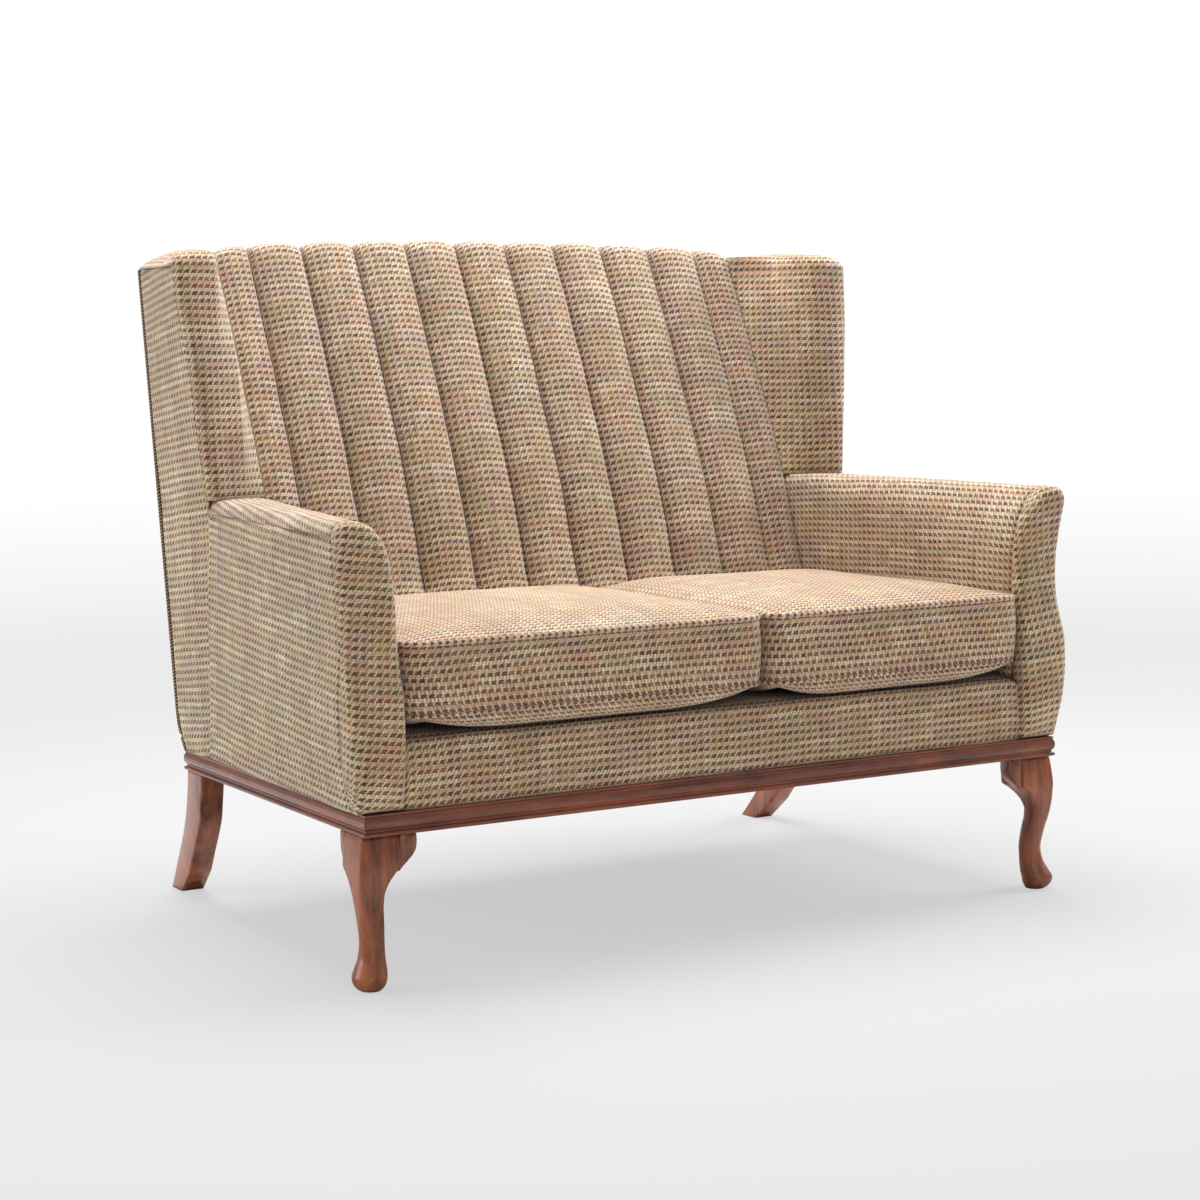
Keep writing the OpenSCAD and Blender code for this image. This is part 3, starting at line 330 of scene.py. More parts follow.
class Bench:
    """Short ways to add and join nodes of one tree."""

    def __init__(self, tree):
        self.tree = tree

    def link(self, a, b):
        self.tree.links.new(a, b)

    def feed(self, socket, value):
        if isinstance(value, bpy.types.NodeSocket):
            self.link(value, socket)
        elif value is not None:
            socket.default_value = value

    def node(self, kind):
        return self.tree.nodes.new(kind)

    def math(self, kind, a, b=None):
        n = self.node("ShaderNodeMath")
        n.operation = kind
        for k, v in enumerate((a, b)):
            self.feed(n.inputs[k], v)
        return n.outputs[0]

    def add(self, a, b):
        return self.math("ADD", a, b)

    def sub(self, a, b):
        return self.math("SUBTRACT", a, b)

    def mul(self, a, b):
        return self.math("MULTIPLY", a, b)

    def steps(self, value, size):
        """The number of whole steps of one size in a value."""
        return self.math("FLOOR", self.math("DIVIDE", value, size))

    def mix(self, t, a, b, kind="MIX"):
        n = self.node("ShaderNodeMix")
        n.data_type, n.blend_type = "RGBA", kind
        self.feed(n.inputs[0], t)
        self.feed(n.inputs[6], a)
        self.feed(n.inputs[7], b)
        return n.outputs[2]

    def ramp(self, t, stops, step=False):
        n = self.node("ShaderNodeValToRGB")
        n.color_ramp.interpolation = "CONSTANT" if step else "LINEAR"
        for k, (at, colour) in enumerate(stops):
            e = n.color_ramp.elements[k] if k < 2 else n.color_ramp.elements.new(at)
            e.position, e.color = at, colour
        self.feed(n.inputs[0], t)
        return n.outputs[0]

    def speck(self, vector, kind="2D"):
        n = self.node("ShaderNodeTexWhiteNoise")
        n.noise_dimensions = kind
        self.feed(n.inputs["Vector"], vector)
        return n.outputs["Value"]

    def cloud(self, vector, scale, detail=3.0, rough=0.55):
        n = self.node("ShaderNodeTexNoise")
        put(n, {"Scale": scale, "Detail": detail, "Roughness": rough})
        self.feed(n.inputs["Vector"], vector)
        return n.outputs["Fac"]

    def joined(self, x, y, z=0.0):
        n = self.node("ShaderNodeCombineXYZ")
        for k, v in enumerate((x, y, z)):
            self.feed(n.inputs[k], v)
        return n.outputs[0]

    def bump(self, height, bsdf, strength, depth):
        n = self.node("ShaderNodeBump")
        put(n, {"Strength": strength, "Distance": depth})
        self.link(height, n.inputs["Height"])
        self.link(n.outputs[0], bsdf.inputs["Normal"])

    def spread(self, value, low, high, new_low, new_high):
        n = self.node("ShaderNodeMapRange")
        for k, v in enumerate((value, low, high, new_low, new_high)):
            self.feed(n.inputs[k], v)
        return n.outputs[0]


def srgb(r, g, b):
    def line(c):
        c /= 255
        return c / 12.92 if c <= 0.04045 else ((c + 0.055) / 1.055) ** 2.4
    return (line(r), line(g), line(b), 1.0)


# The cloth's thread pitch in metres, the threads in a repeat, and a shift that keeps counts positive
THREAD = 0.001425
REPEAT = 8.0
AWAY = 4096.0


def tweed_group():
    """A wool tweed: small slanted dark checks on straw rows, in a two-and-two twill."""
    tree, given, out = group("woven_tweed", [
        ("Cloth", "NodeSocketVector", None), ("Shift", "NodeSocketVector", None),
        ("Tint", "NodeSocketColor", (1, 1, 1, 1))],
        [("Color", "NodeSocketColor"), ("Height", "NodeSocketFloat"),
         ("Roughness", "NodeSocketFloat")])
    b = Bench(tree)
    sep = b.node("ShaderNodeSeparateXYZ")
    moved = b.node("ShaderNodeVectorMath")
    moved.operation = "ADD"
    b.link(given.outputs["Cloth"], moved.inputs[0])
    b.link(given.outputs["Shift"], moved.inputs[1])
    # the threads wander a little, as hand-pulled cloth does
    wander = b.cloud(moved.outputs[0], 9.0, 2.0)
    b.link(moved.outputs[0], sep.inputs[0])
    wobble = b.mul(b.sub(wander, 0.5), 0.006)
    u = b.add(b.math("DIVIDE", b.add(sep.outputs[0], wobble), THREAD), AWAY)
    v = b.add(b.math("DIVIDE", b.add(sep.outputs[1], wobble), THREAD), AWAY)
    iu, iv = b.math("FLOOR", u), b.math("FLOOR", v)
    fu, fv = b.sub(u, iu), b.sub(v, iv)
    gu, gv = b.steps(iu, REPEAT), b.steps(iv, REPEAT)
    # a check is five dark threads wide and four high, and leans over as it goes up
    row = b.math("MODULO", iv, REPEAT)
    lean = b.math("FLOOR", b.math("DIVIDE", row, 2.0))
    dark_u = b.math("LESS_THAN", b.math("MODULO", b.sub(iu, lean), REPEAT), 4.5)
    dark_v = b.math("LESS_THAN", row, 3.5)
    twill = b.math("MODULO", b.add(b.sub(iu, iv), 2 * AWAY), 4.0)
    warp = b.math("LESS_THAN", twill, 1.5)
    weft = b.sub(1.0, warp)
    crossing = b.mul(dark_u, dark_v)
    single = b.add(b.mul(dark_u, b.mul(warp, 0.62)),
                    b.mul(dark_v, b.mul(weft, 0.86)))
    dark = b.math("MAXIMUM", crossing, single)

    browns = [(0.0, srgb(72, 45, 30)), (0.2, srgb(66, 60, 40)), (0.34, srgb(48, 38, 36)),
              (0.46, srgb(104, 52, 38)), (0.58, srgb(86, 38, 48)), (0.68, srgb(116, 84, 48)),
              (0.8, srgb(62, 54, 68)), (0.9, srgb(92, 66, 44))]
    straws = [(0.0, srgb(208, 181, 147)), (0.2, srgb(219, 198, 169)), (0.36, srgb(204, 168, 139)),
              (0.5, srgb(226, 208, 182)), (0.64, srgb(198, 181, 141)), (0.76, srgb(205, 175, 160)),
              (0.88, srgb(190, 177, 147))]
    # the yarn was dyed in lengths, so its colour also changes along each thread
    length_u = b.steps(iv, 26.0)
    length_v = b.steps(iu, 37.0)
    pick_u = b.speck(b.joined(gu, 3.0, length_u), "3D")
    pick_v = b.speck(b.joined(gv, 11.0, length_v), "3D")
    dark_warp = b.ramp(pick_u, browns, True)
    dark_weft = b.ramp(pick_v, browns, True)
    light_warp = b.ramp(b.speck(b.joined(gu, 5.0, b.steps(iv, 34.0)), "3D"), straws, True)
    light_weft = b.ramp(b.speck(b.joined(gv, 7.0, b.steps(iu, 45.0)), "3D"), straws, True)
    # every eleventh check starts a pair of plum ones
    plum = b.math("LESS_THAN", b.math("MODULO", gu, 11.0), 1.5)
    dark_warp = b.mix(b.mul(plum, 0.8), dark_warp, srgb(74, 34, 44))
    light_warp = b.mix(b.mul(plum, 0.5), light_warp, srgb(196, 160, 156))
    dark_all = b.mix(b.add(b.mul(warp, 0.6), 0.2), dark_weft, dark_warp)
    light_all = b.mix(warp, light_weft, light_warp)
    slub = b.cloud(moved.outputs[0], 260.0, 2.0, 0.5)
    own = b.spread(b.speck(b.joined(gu, gv, 0.0), "2D"), 0.0, 1.0, 0.84, 1.0)
    own = b.math("MAXIMUM", own, b.mul(plum, 0.95))
    dark = b.mul(b.mul(dark, own), b.spread(slub, 0.34, 0.54, 0.76, 1.0))
    colour = b.mix(dark, light_all, dark_all)
    colour = b.mix(b.spread(slub, 0.55, 0.72, 0.0, 0.22), colour, srgb(120, 92, 70))
    # each short float of thread has its own shade, and the fibres are uneven
    each = b.speck(b.joined(b.steps(b.add(iu, iv), 2.0), iv, 0.0), "2D")
    shade = b.spread(each, 0.0, 1.0, 0.84, 1.12)
    fluff = b.cloud(moved.outputs[0], 900.0, 3.0, 0.6)
    shade = b.mul(shade, b.spread(fluff, 0.3, 0.7, 0.86, 1.14))
    worn = b.cloud(moved.outputs[0], 5.0, 3.0, 0.5)
    shade = b.mul(shade, b.spread(worn, 0.3, 0.7, 0.94, 1.06))
    colour = b.mix(1.0, colour, b.joined(shade, shade, shade), "MULTIPLY")
    # the tint paints light and shade into the cloth's colour, so that one cloth gives lit and shaded
    # copies
    colour = b.mix(1.0, colour, given.outputs["Tint"], "MULTIPLY")
    # rounded threads, lower where they dive under
    def rounded(f):
        off_middle = b.math("ABSOLUTE", b.sub(b.mul(f, 2.0), 1.0))
        return b.sub(1.0, b.math("POWER", off_middle, 2.0))
    ridge = b.add(b.mul(rounded(fu), warp), b.mul(rounded(fv), weft))
    height = b.add(b.mul(ridge, 0.7), b.mul(fluff, 0.6))
    b.link(colour, out.inputs["Color"])
    b.link(height, out.inputs["Height"])
    b.link(b.spread(fluff, 0.3, 0.7, 0.86, 1.0), out.inputs["Roughness"])
    return tree


def wood_group():
    """Reddish-brown mahogany: long grain, short dark pores and an uneven stain."""
    tree, given, out = group("mahogany_grain", [
        ("Place", "NodeSocketVector", None), ("Dark", "NodeSocketColor", (0, 0, 0, 1)),
        ("Light", "NodeSocketColor", (1, 1, 1, 1))],
        [("Color", "NodeSocketColor"), ("Height", "NodeSocketFloat"),
         ("Roughness", "NodeSocketFloat")])
    b = Bench(tree)
    sep = b.node("ShaderNodeSeparateXYZ")
    b.link(given.outputs["Place"], sep.inputs[0])
    x, y, z = sep.outputs
    long = b.joined(b.mul(x, 60.0), b.mul(y, 60.0), b.mul(z, 4.0))
    pores = b.joined(b.mul(x, 700.0), b.mul(y, 700.0), b.mul(z, 45.0))
    band = b.cloud(long, 1.0, 5.0, 0.6)
    pore = b.cloud(pores, 1.0, 2.0, 0.5)
    stain = b.cloud(given.outputs["Place"], 14.0, 2.0, 0.5)
    t = b.add(b.mul(band, 0.75), b.mul(stain, 0.35))
    colour = b.mix(b.spread(t, 0.38, 0.7, 0.0, 1.0), given.outputs["Dark"], given.outputs["Light"])
    colour = b.mix(b.spread(pore, 0.56, 0.66, 0.0, 0.55), colour, given.outputs["Dark"])
    b.link(colour, out.inputs["Color"])
    b.link(b.sub(band, b.mul(b.spread(pore, 0.56, 0.66, 0.0, 1.0), 0.5)), out.inputs["Height"])
    b.link(b.spread(band, 0.3, 0.7, 0.26, 0.4), out.inputs["Roughness"])
    return tree


TWEED, WOOD = tweed_group(), wood_group()


def material(name):
    m = bpy.data.materials.new(name)
    m.use_nodes = True
    m.node_tree.nodes.clear()
    out = m.node_tree.nodes.new("ShaderNodeOutputMaterial")
    bsdf = m.node_tree.nodes.new("ShaderNodeBsdfPrincipled")
    m.node_tree.links.new(bsdf.outputs[0], out.inputs[0])
    return m, bsdf, Bench(m.node_tree)


def dressed(b, bsdf, tree, strength, depth):
    """Adds a shader group and joins its colour, height and roughness to the surface."""
    n = b.node("ShaderNodeGroup")
    n.node_tree = tree
    b.bump(n.outputs["Height"], bsdf, strength, depth)
    b.link(n.outputs["Color"], bsdf.inputs["Base Color"])
    b.link(n.outputs["Roughness"], bsdf.inputs["Roughness"])
    return n


def tweed(name, painted_light_tint=(1, 1, 1), shift=(0, 0)):
    m, bsdf, b = material(name)
    uv = b.node("ShaderNodeUVMap")
    uv.uv_map = "cloth"
    weave = dressed(b, bsdf, TWEED, 0.55, 0.0007)
    b.link(uv.outputs[0], weave.inputs["Cloth"])
    put(weave, {"Shift": (*shift, 0.0), "Tint": (*painted_light_tint, 1.0)})
    put(bsdf, {"Specular IOR Level": 0.15, "Sheen Weight": 0.3, "Sheen Roughness": 0.5})
    return m


def wood(name, axis="Z", dark=(62, 30, 20), light=(134, 74, 48)):
    m, bsdf, b = material(name)
    at = b.node("ShaderNodeTexCoord")
    turn = b.node("ShaderNodeMapping")
    turn.inputs["Rotation"].default_value = {
        "Z": (0, 0, 0), "X": (0, math.pi / 2, 0), "Y": (math.pi / 2, 0, 0)}[axis]
    b.link(at.outputs["Object"], turn.inputs[0])
    grain = dressed(b, bsdf, WOOD, 0.15, 0.0004)
    put(grain, {"Dark": srgb(*dark), "Light": srgb(*light)})
    b.link(turn.outputs[0], grain.inputs["Place"])
    put(bsdf, {"Specular IOR Level": 0.35, "Coat Weight": 0.2, "Coat Roughness": 0.22})
    return m


def plain(name, colours, scale, rough, metallic=0.0, bump_depth=0.0002, stretch=(1, 1, 1)):
    """An inner part's finish: two colours in an uneven grain, with matching roughness."""
    m, bsdf, b = material(name)
    at = b.node("ShaderNodeTexCoord")
    turn = b.node("ShaderNodeMapping")
    turn.inputs["Scale"].default_value = stretch
    b.link(at.outputs["Object"], turn.inputs[0])
    grain = b.cloud(turn.outputs[0], scale, 5.0, 0.6)
    b.link(b.ramp(grain, [(0.3, srgb(*colours[0])), (0.7, srgb(*colours[1]))]),
           bsdf.inputs["Base Color"])
    b.link(b.spread(grain, 0.3, 0.7, rough[0], rough[1]), bsdf.inputs["Roughness"])
    b.bump(grain, bsdf, 0.4, bump_depth)
    put(bsdf, {"Metallic": metallic})
    return m


def dotted(name):
    """Twisted piping cord of brown and straw yarn, along its own length."""
    m, bsdf, b = material(name)
    uv = b.node("ShaderNodeUVMap")
    uv.uv_map = "cloth"
    sep = b.node("ShaderNodeSeparateXYZ")
    b.link(uv.outputs[0], sep.inputs[0])
    twist = b.add(b.math("DIVIDE", sep.outputs[1], 0.0052),
                   b.math("DIVIDE", sep.outputs[0], 0.011))
    turn = b.sub(twist, b.math("FLOOR", twist))
    light = b.math("LESS_THAN", turn, 0.3)
    fluff = b.cloud(uv.outputs[0], 900.0, 3.0, 0.6)
    colour = b.mix(light, srgb(58, 40, 34), srgb(196, 172, 140))
    b.link(b.mix(b.spread(fluff, 0.3, 0.7, 0.0, 0.35), colour, srgb(110, 84, 62)),
           bsdf.inputs["Base Color"])
    b.bump(b.math("PINGPONG", twist, 0.5), bsdf, 0.5, 0.0008)
    b.link(b.spread(fluff, 0.3, 0.7, 0.8, 0.95), bsdf.inputs["Roughness"])
    return m


# Each piece gets its own copy of the cloth, with a tint that paints light and shade into its colour: the
# arm fronts and the border are darker and warmer, as in shade, and the outside panels greener, as under
# the cool light from the left. The other pieces are tinted only a little.
back_cloth = tweed("tweed_fluted_back", (0.97, 0.96, 0.95))
wing_cloth = tweed("tweed_wings", (1.0, 0.99, 0.96), (0.31, 0.12))
arm_cloth = tweed("tweed_arms", (1.0, 0.99, 0.96), (0.53, 0.41))
facing_cloth = tweed("tweed_arm_fronts", (0.98, 0.94, 0.85), (0.77, 0.23))
outside_cloth = tweed("tweed_outside", (1.0, 1.02, 0.95), (0.15, 0.67))
border_cloth = tweed("tweed_border", (0.97, 0.92, 0.83), (0.91, 0.35))
cushion_cloth = tweed("tweed_cushions", (1.03, 0.98, 0.92), (0.07, 0.83))
seam_cord = dotted("dotted_piping")
leg_wood = wood("mahogany_legs", "Z", (82, 40, 25), (168, 95, 58))
front_wood = wood("mahogany_moulding_long", "X", (70, 33, 21), (144, 76, 48))
side_wood = wood("mahogany_moulding_short", "Y", (70, 33, 21), (144, 76, 48))
beech = plain("beech_frame", ((168, 128, 84), (206, 170, 120)), 30.0, (0.55, 0.75), stretch=(1, 1, 0.15))
steel = plain("spring_steel", ((96, 98, 102), (150, 152, 156)), 120.0, (0.28, 0.45), 1.0)
jute = plain("back_webbing_weave", ((40, 36, 32), (74, 66, 56)), 400.0, (0.8, 0.95), bump_depth=0.0005)
lining = plain("bottom_lining", ((28, 28, 30), (52, 52, 54)), 700.0, (0.85, 0.97), bump_depth=0.0003)


# Upholstery

def flute_depth(x):
    """How far the stuffed channel stands before its seams."""
    seam_depth, seam_w = 8, 3.0
    t = x / FLUTE_W + 5.5
    f = np.abs(2 * (t - np.floor(t)) - 1)
    body = (FLUTE_CROWN + 3) * np.maximum(0, 1 - f ** 2.0) ** 0.55
    return body - seam_depth * np.exp(-((1 - f) * FLUTE_W / 2 / seam_w) ** 2)


def end_share(x):
    return np.clip((np.abs(x) - LAST_SEAM) / (BACK_HALF - LAST_SEAM), 0, 1)


def fluted_back():
    """Eleven stuffed channels that roll over the top of the back."""
    steps, front_rows, roll_rows = 18, 50, 15
    cut_z, shelf_z, shelf_y, tuck_z = 987.0, 997.3, 28.5, 920.0
    inner = [(k - 0.5 + (1 - math.cos(math.pi * s / steps)) / 2) * FLUTE_W
             for k in range(-4, 5) for s in range(steps)]
    ends = [blend(LAST_SEAM, BACK_HALF, s / 12) for s in range(13)]
    xs = np.array([-e for e in reversed(ends)][:-1] + inner + ends)
    a0 = math.pi - RAKE
    columns = []
    for x in xs:
        d, e = float(flute_depth(x)), float(end_share(x))
        zc = ROLL_Z - 13 * (abs(x) / BACK_HALF) ** 2 - 5 * e ** 2
        yc = seam_y(zc) + ROLL_R / math.cos(RAKE)
        top = blend(FLUTE_CROWN * 0.5, d, 0.5) * (1 - 0.6 * e * e)
        z = np.linspace(SEAT_Z + FIT, zc, front_rows)
        d_low = d * (1 - 0.35 * e ** 3)
        front = np.stack([np.full(front_rows, x), stuffed_y(z) - d_low / math.cos(RAKE), z], -1)
        a = np.linspace(a0, 0, roll_rows + 1)[1:]
        dd = (top + (d - top) * np.clip((a - math.pi / 2) / (a0 - math.pi / 2), 0, 1)) \
            * np.sin(np.minimum(math.pi / 2, a))
        roll = np.stack([np.full(roll_rows, x), yc + (ROLL_R + dd) * np.cos(a),
                         zc + (ROLL_R + dd) * np.sin(a)], -1)
        rear = np.array([[x, yc + ROLL_R, blend(zc, cut_z, s)] for s in (0.35, 0.7, 1)])
        back = outer_y(cut_z)
        inside = np.array([[x, back - 7.7, cut_z], [x, back - 7.7, shelf_z],
                           [x, back - shelf_y, shelf_z], [x, web_y(tuck_z), tuck_z],
                           [x, web_y(SEAT_Z) - FIT, SEAT_Z + FIT], [x, float(front[0][1]), SEAT_Z + FIT]])
        columns.append(np.concatenate([front, roll, rear, inside]))
    rows = np.stack(columns, 1)
    crowned = np.stack([xs, -flute_depth(xs)], -1)
    u = run_of(crowned)
    u -= u[len(u) // 2]
    v = arc(rows, 0)[:, rows.shape[1] // 2]
    t = xs / FLUTE_W + 5.5
    f = 2 * (t - np.floor(t)) - 1
    cloth = np.stack(np.broadcast_arrays(u[None, :], v[:, None] - 7 * (1 - f ** 2)[None, :]), -1)
    piece("fluted_back_cover", [(rows, cloth)], back_cloth, node="fluted_inside_back",
          uneven=(1.6, 0.09))


def wing(flip):
    """Inside and front of a wing in one cloth, with its domed top."""
    side = "left" if flip else "right"
    shown_count, around = 44, 66

    def ring(z):
        yw = float(wing_y(z))
        xo = float(side_x(yw, z))
        yj = float(stuffed_y(z)) - FLUTE_CROWN
        ym = yw + 93 * float(wing_sweep(wing_t(z)))
        xm = blend(FLUTE_END, PAD_X, 0.56)
        yn = yw + WING_PAD * 0.7
        yp = yw + WING_PAD - FIT
        yk = min(web_y(z), float(outer_y(z)) - 28) - FIT
        shown = [[FLUTE_END, yj]]
        shown += [[blend(FLUTE_END, xm, s), blend(yj, ym, s ** 1.12)] for s in (0.3, 0.62)]
        shown += [[blend(xm, PAD_X, s), yn + (ym - yn) * (1 - s) ** 1.3]
                  for s in (0, 0.3, 0.62, 0.97)]
        shown += [[blend(PAD_X, xo, 0.3), yw + WING_PAD * 0.2], [xo - ARM_EDGE, yw],
                  [xo - ARM_EDGE / 3, yw + WING_PAD / 5], [xo, yp]]
        line = along(shown, shown_count)
        hidden = along([[xo, yp], [PAD_X, yp + 1], [PAD_X - 1, yk], [FLUTE_END, yk]],
                       around - shown_count)[1:]
        return np.concatenate([line, hidden, line[:1]])

    zs = np.concatenate([np.linspace(ARM_H + FIT, 900, 26), np.linspace(900, WING_H, 18)[1:]])
    low = np.array([np.column_stack([ring(z), np.full(around, z)]) for z in zs])
    y1 = float(outer_y(WING_H))
    focus = np.array([blend(FLUTE_END, HALF_W, 0.56), blend(WING_FRONT, y1, 0.6)])
    top_ring = ring(WING_H)
    rear = along([[*top_ring[shown_count - 1]], [side_x(300, WING_H), 300], [side_x(360, WING_H), 360],
                  [HALF_W - 4, y1 - 4], [blend(HALF_W, FLUTE_END, 0.5), y1], [FLUTE_END + 4, y1 - 3],
                  [FLUTE_END, blend(y1, top_ring[0][1], 0.4)], [*top_ring[0]]],
                 around - shown_count + 1)[1:]
    lid = np.concatenate([top_ring[:shown_count], rear])
    k = np.arange(around)
    # it stands up where it meets the fluted back, and slopes down to the rear and outside
    hold = np.interp(k, [0, 8, 20, 43, 57, 61, 65], [0.12, 0.3, 1, 1, 1, 0.3, 0.12])
    slope = np.interp(k, [0, 22, 36, 43, 48, 56, 61, 65], [0, 0, 0, 0.3, 1, 0.8, 0, 0])
    reach = np.linalg.norm(lid - focus, axis=1)
    edge_r, edge_rise, dome_h = 34.0, 0.88, 29
    bend = np.minimum(edge_r / reach, 0.8) * hold
    steps = [(1 - bend * (1 - math.cos(a)), edge_rise * math.sin(a))
             for a in np.linspace(0, math.pi / 2, 12)]
    steps += [((1 - bend) * (1 - t), edge_rise + 0.12 * math.sin(t * math.pi / 2))
              for t in np.linspace(0, 1, 8)[1:]]
    crown = []
    for s, rise in steps:
        up = blend(rise, 1 - np.clip(s, 0, 1) ** 1.7, slope)
        p = focus + (lid - focus) * s[:, None]
        crown.append(np.column_stack([p, WING_H + 0.6 + dome_h * up]))
    crown = np.array(crown)
    low_cloth = cloth_of(low)
    edge, up_cloth = low_cloth[-1, :, 0], low_cloth[-1, 0, 1]
    flat_part = np.interp(k, [0, 18, 26, 65], [0, 0, 1, 1])
    u = edge + (crown[..., 0] - crown[:1, :, 0]) * flat_part
    grids = [(low, low_cloth),
             (np.concatenate([low[-1:], crown[:1]]), np.repeat(low_cloth[-1:], 2, 0)),
             (crown, np.stack([u, up_cloth + arc(crown, 0)], -1))]
    piece(f"{side}_wing_cover", grids, wing_cloth, node=f"{side}_wing_pad",
          flip=flip, uneven=(1.2, 0.1))


def arm(flip):
    """Inside and rolled top of an arm in one cloth."""
    side = "left" if flip else "right"
    pad_front = STUMP_Y - FIT

    def lean(s, z):
        return blend(pad_front, web_y(z) - FIT, s)
    last = (POST_FOOT_Y - 0.5 - pad_front) / (lean(1, ARM_H) - pad_front)

    def section(s):
        t = float(arm_run(lean(s, ARM_H)))
        w, h = blend(ARM_ROUND_W, 16, t), blend(ARM_ROUND_H, 16, t)
        z0 = SEAT_Z + FIT
        inner = [[arm_in_x(lean(s, z)), z] for z in np.linspace(z0, ARM_H - h, 14)]
        for a in np.linspace(math.pi, math.pi / 2, 20)[1:]:
            z = ARM_H - h + h * math.sin(a)
            inner.append([arm_in_x(lean(s, z)) + w + w * math.cos(a), z])
        if s > last:
            outer = [[PAD_X - FIT, z] for z in np.linspace(ARM_H, 612, 22)]
        else:
            xo = float(side_x(min(lean(s, SEAM_Z), ARM_BACK_Y), SEAM_Z))
            flat = [[blend(inner[-1][0], xo - ARM_EDGE, k / 6), ARM_H + 0.8 * math.sin(math.pi * k / 6)]
                    for k in range(1, 7)]
            turn = [[xo - ARM_EDGE + ARM_EDGE * math.cos(a), SEAM_Z + ARM_EDGE * math.sin(a)]
                    for a in np.linspace(math.pi / 2, 0, 12)[1:]]
            outer = flat + turn + [[xo - 3, SEAM_Z - 0.2], [FRAME_X, SEAM_Z - 0.5], [FRAME_X, 612.3],
                                   [PAD_X, 612.3], [PAD_X, 500]]
        shape = inner + outer + [[PAD_X, z0]]
        return [[p[0], lean(s, p[1]), p[1]] for p in shape]
    shares = np.concatenate([np.linspace(0, last, 34), [last + 0.006, (1 + last) / 2, 1]])
    rows = np.array([section(s) for s in shares], float)
    rows = np.concatenate([rows, rows[:, :1]], 1)
    u = arc(rows, 1)
    v = rows[..., 1]
    piece(f"{side}_arm_cover", [(rows, np.stack([v, u], -1))], arm_cloth,
          node=f"{side}_arm_pad", flip=flip, uneven=(1.2, 0.09))


def arm_front(flip):
    """The padded front of an arm: an ogee outline, pillowed, with its top tucked under the roll."""
    side = "left" if flip else "right"
    # both sides are cut at the same heights, so that they meet on one middle line
    low, high = MOULD_TOP + 42, ARM_H - 36
    shared = np.linspace(low, high, 44)
    xo = float(arm_front_x(SEAM_Z))
    tip = math.asin((high - ARM_H + ARM_ROUND_H) / ARM_ROUND_H)

    def inner_x(z):
        rise = max(0.0, (z - ARM_H + ARM_ROUND_H) / ARM_ROUND_H)
        return ARM_IN_FRONT + ARM_ROUND_W * (1 - math.sqrt(1 - rise ** 2))
    out = [[float(arm_front_x(z)), z] for z in np.linspace(MOULD_TOP + FIT, low, 8)[:-1]]
    out += [[float(arm_front_x(z)), z] for z in shared]
    out += [[float(arm_front_x(z)), z] for z in np.linspace(high, SEAM_Z, 4)[1:]]
    out += [[xo - ARM_EDGE + ARM_EDGE * math.cos(a), SEAM_Z + ARM_EDGE * math.sin(a)]
            for a in np.linspace(0, math.pi / 2, 12)[1:]]
    top = [[ARM_IN_FRONT + ARM_ROUND_W - ARM_ROUND_W * math.cos(a),
            ARM_H - ARM_ROUND_H + ARM_ROUND_H * math.sin(a)]
           for a in np.linspace(math.pi / 2, tip, 14)[:-1]]
    inner = [[inner_x(z), z] for z in shared[::-1]]
    inner += [[ARM_IN_FRONT, z] for z in np.linspace(low, MOULD_TOP + FIT, 8)[1:]]
    foot = [[blend(ARM_IN_FRONT, out[0][0], k / 10), MOULD_TOP + FIT] for k in range(1, 11)]
    outline = np.array(out + top + inner + foot)
    z = outline[:, 1]
    mid_z = np.clip(z, low, high)
    mid_x = np.interp(mid_z, [248, 430, 560, 611], [583, 582, 584, 593])
    centre = np.stack([mid_x, mid_z], -1)
    reach = np.linalg.norm(centre - outline, axis=1)
    rows = []
    turn = 15.0
    depth_rows = [("side", s) for s in (0.0, 0.5)]
    depth_rows += [("turn", a) for a in np.linspace(0, math.pi / 2, 9)]
    depth_rows += [("face", s) for s in np.linspace(0, 1, 10)[1:]]
    for kind, s in depth_rows:
        if kind == "side":
            inset = np.zeros(len(outline))
        elif kind == "turn":
            inset = turn * (1 - math.cos(s)) * np.ones(len(outline))
        else:
            inset = turn + (reach - turn) * s
        q = np.clip(inset / reach, 0, 1)
        p = outline + (centre - outline) * q[:, None]
        front = STUMP_Y - FIT - 16.5 - 25 * arm_belly(arm_t(p[:, 1])) \
            - 2.0 * np.sin(q * math.pi / 2)
        if kind == "side":
            y = blend(STUMP_Y - FIT, front + turn, s)
        elif kind == "turn":
            y = front + turn * (1 - math.sin(s))
        else:
            y = front
        rows.append(np.column_stack([p[:, 0], y, p[:, 1]]))
    rows = np.array(rows)
    rows[:, -1] = rows[:, 0]
    back_in = arc(rows, 0)
    total = back_in[-1]
    toward = (outline - centre) / reach[:, None]
    place = centre[None] + toward[None] * (total - back_in)[..., None]
    tilt = math.radians(-7)
    cloth = np.stack([place[..., 0] * math.cos(tilt) - place[..., 1] * math.sin(tilt),
                      place[..., 0] * math.sin(tilt) + place[..., 1] * math.cos(tilt)], -1)
    piece(f"{side}_arm_front_cover", [(rows, cloth)], facing_cloth, node=f"{side}_arm_facing",
          flip=flip, uneven=(0.8, 0.07))


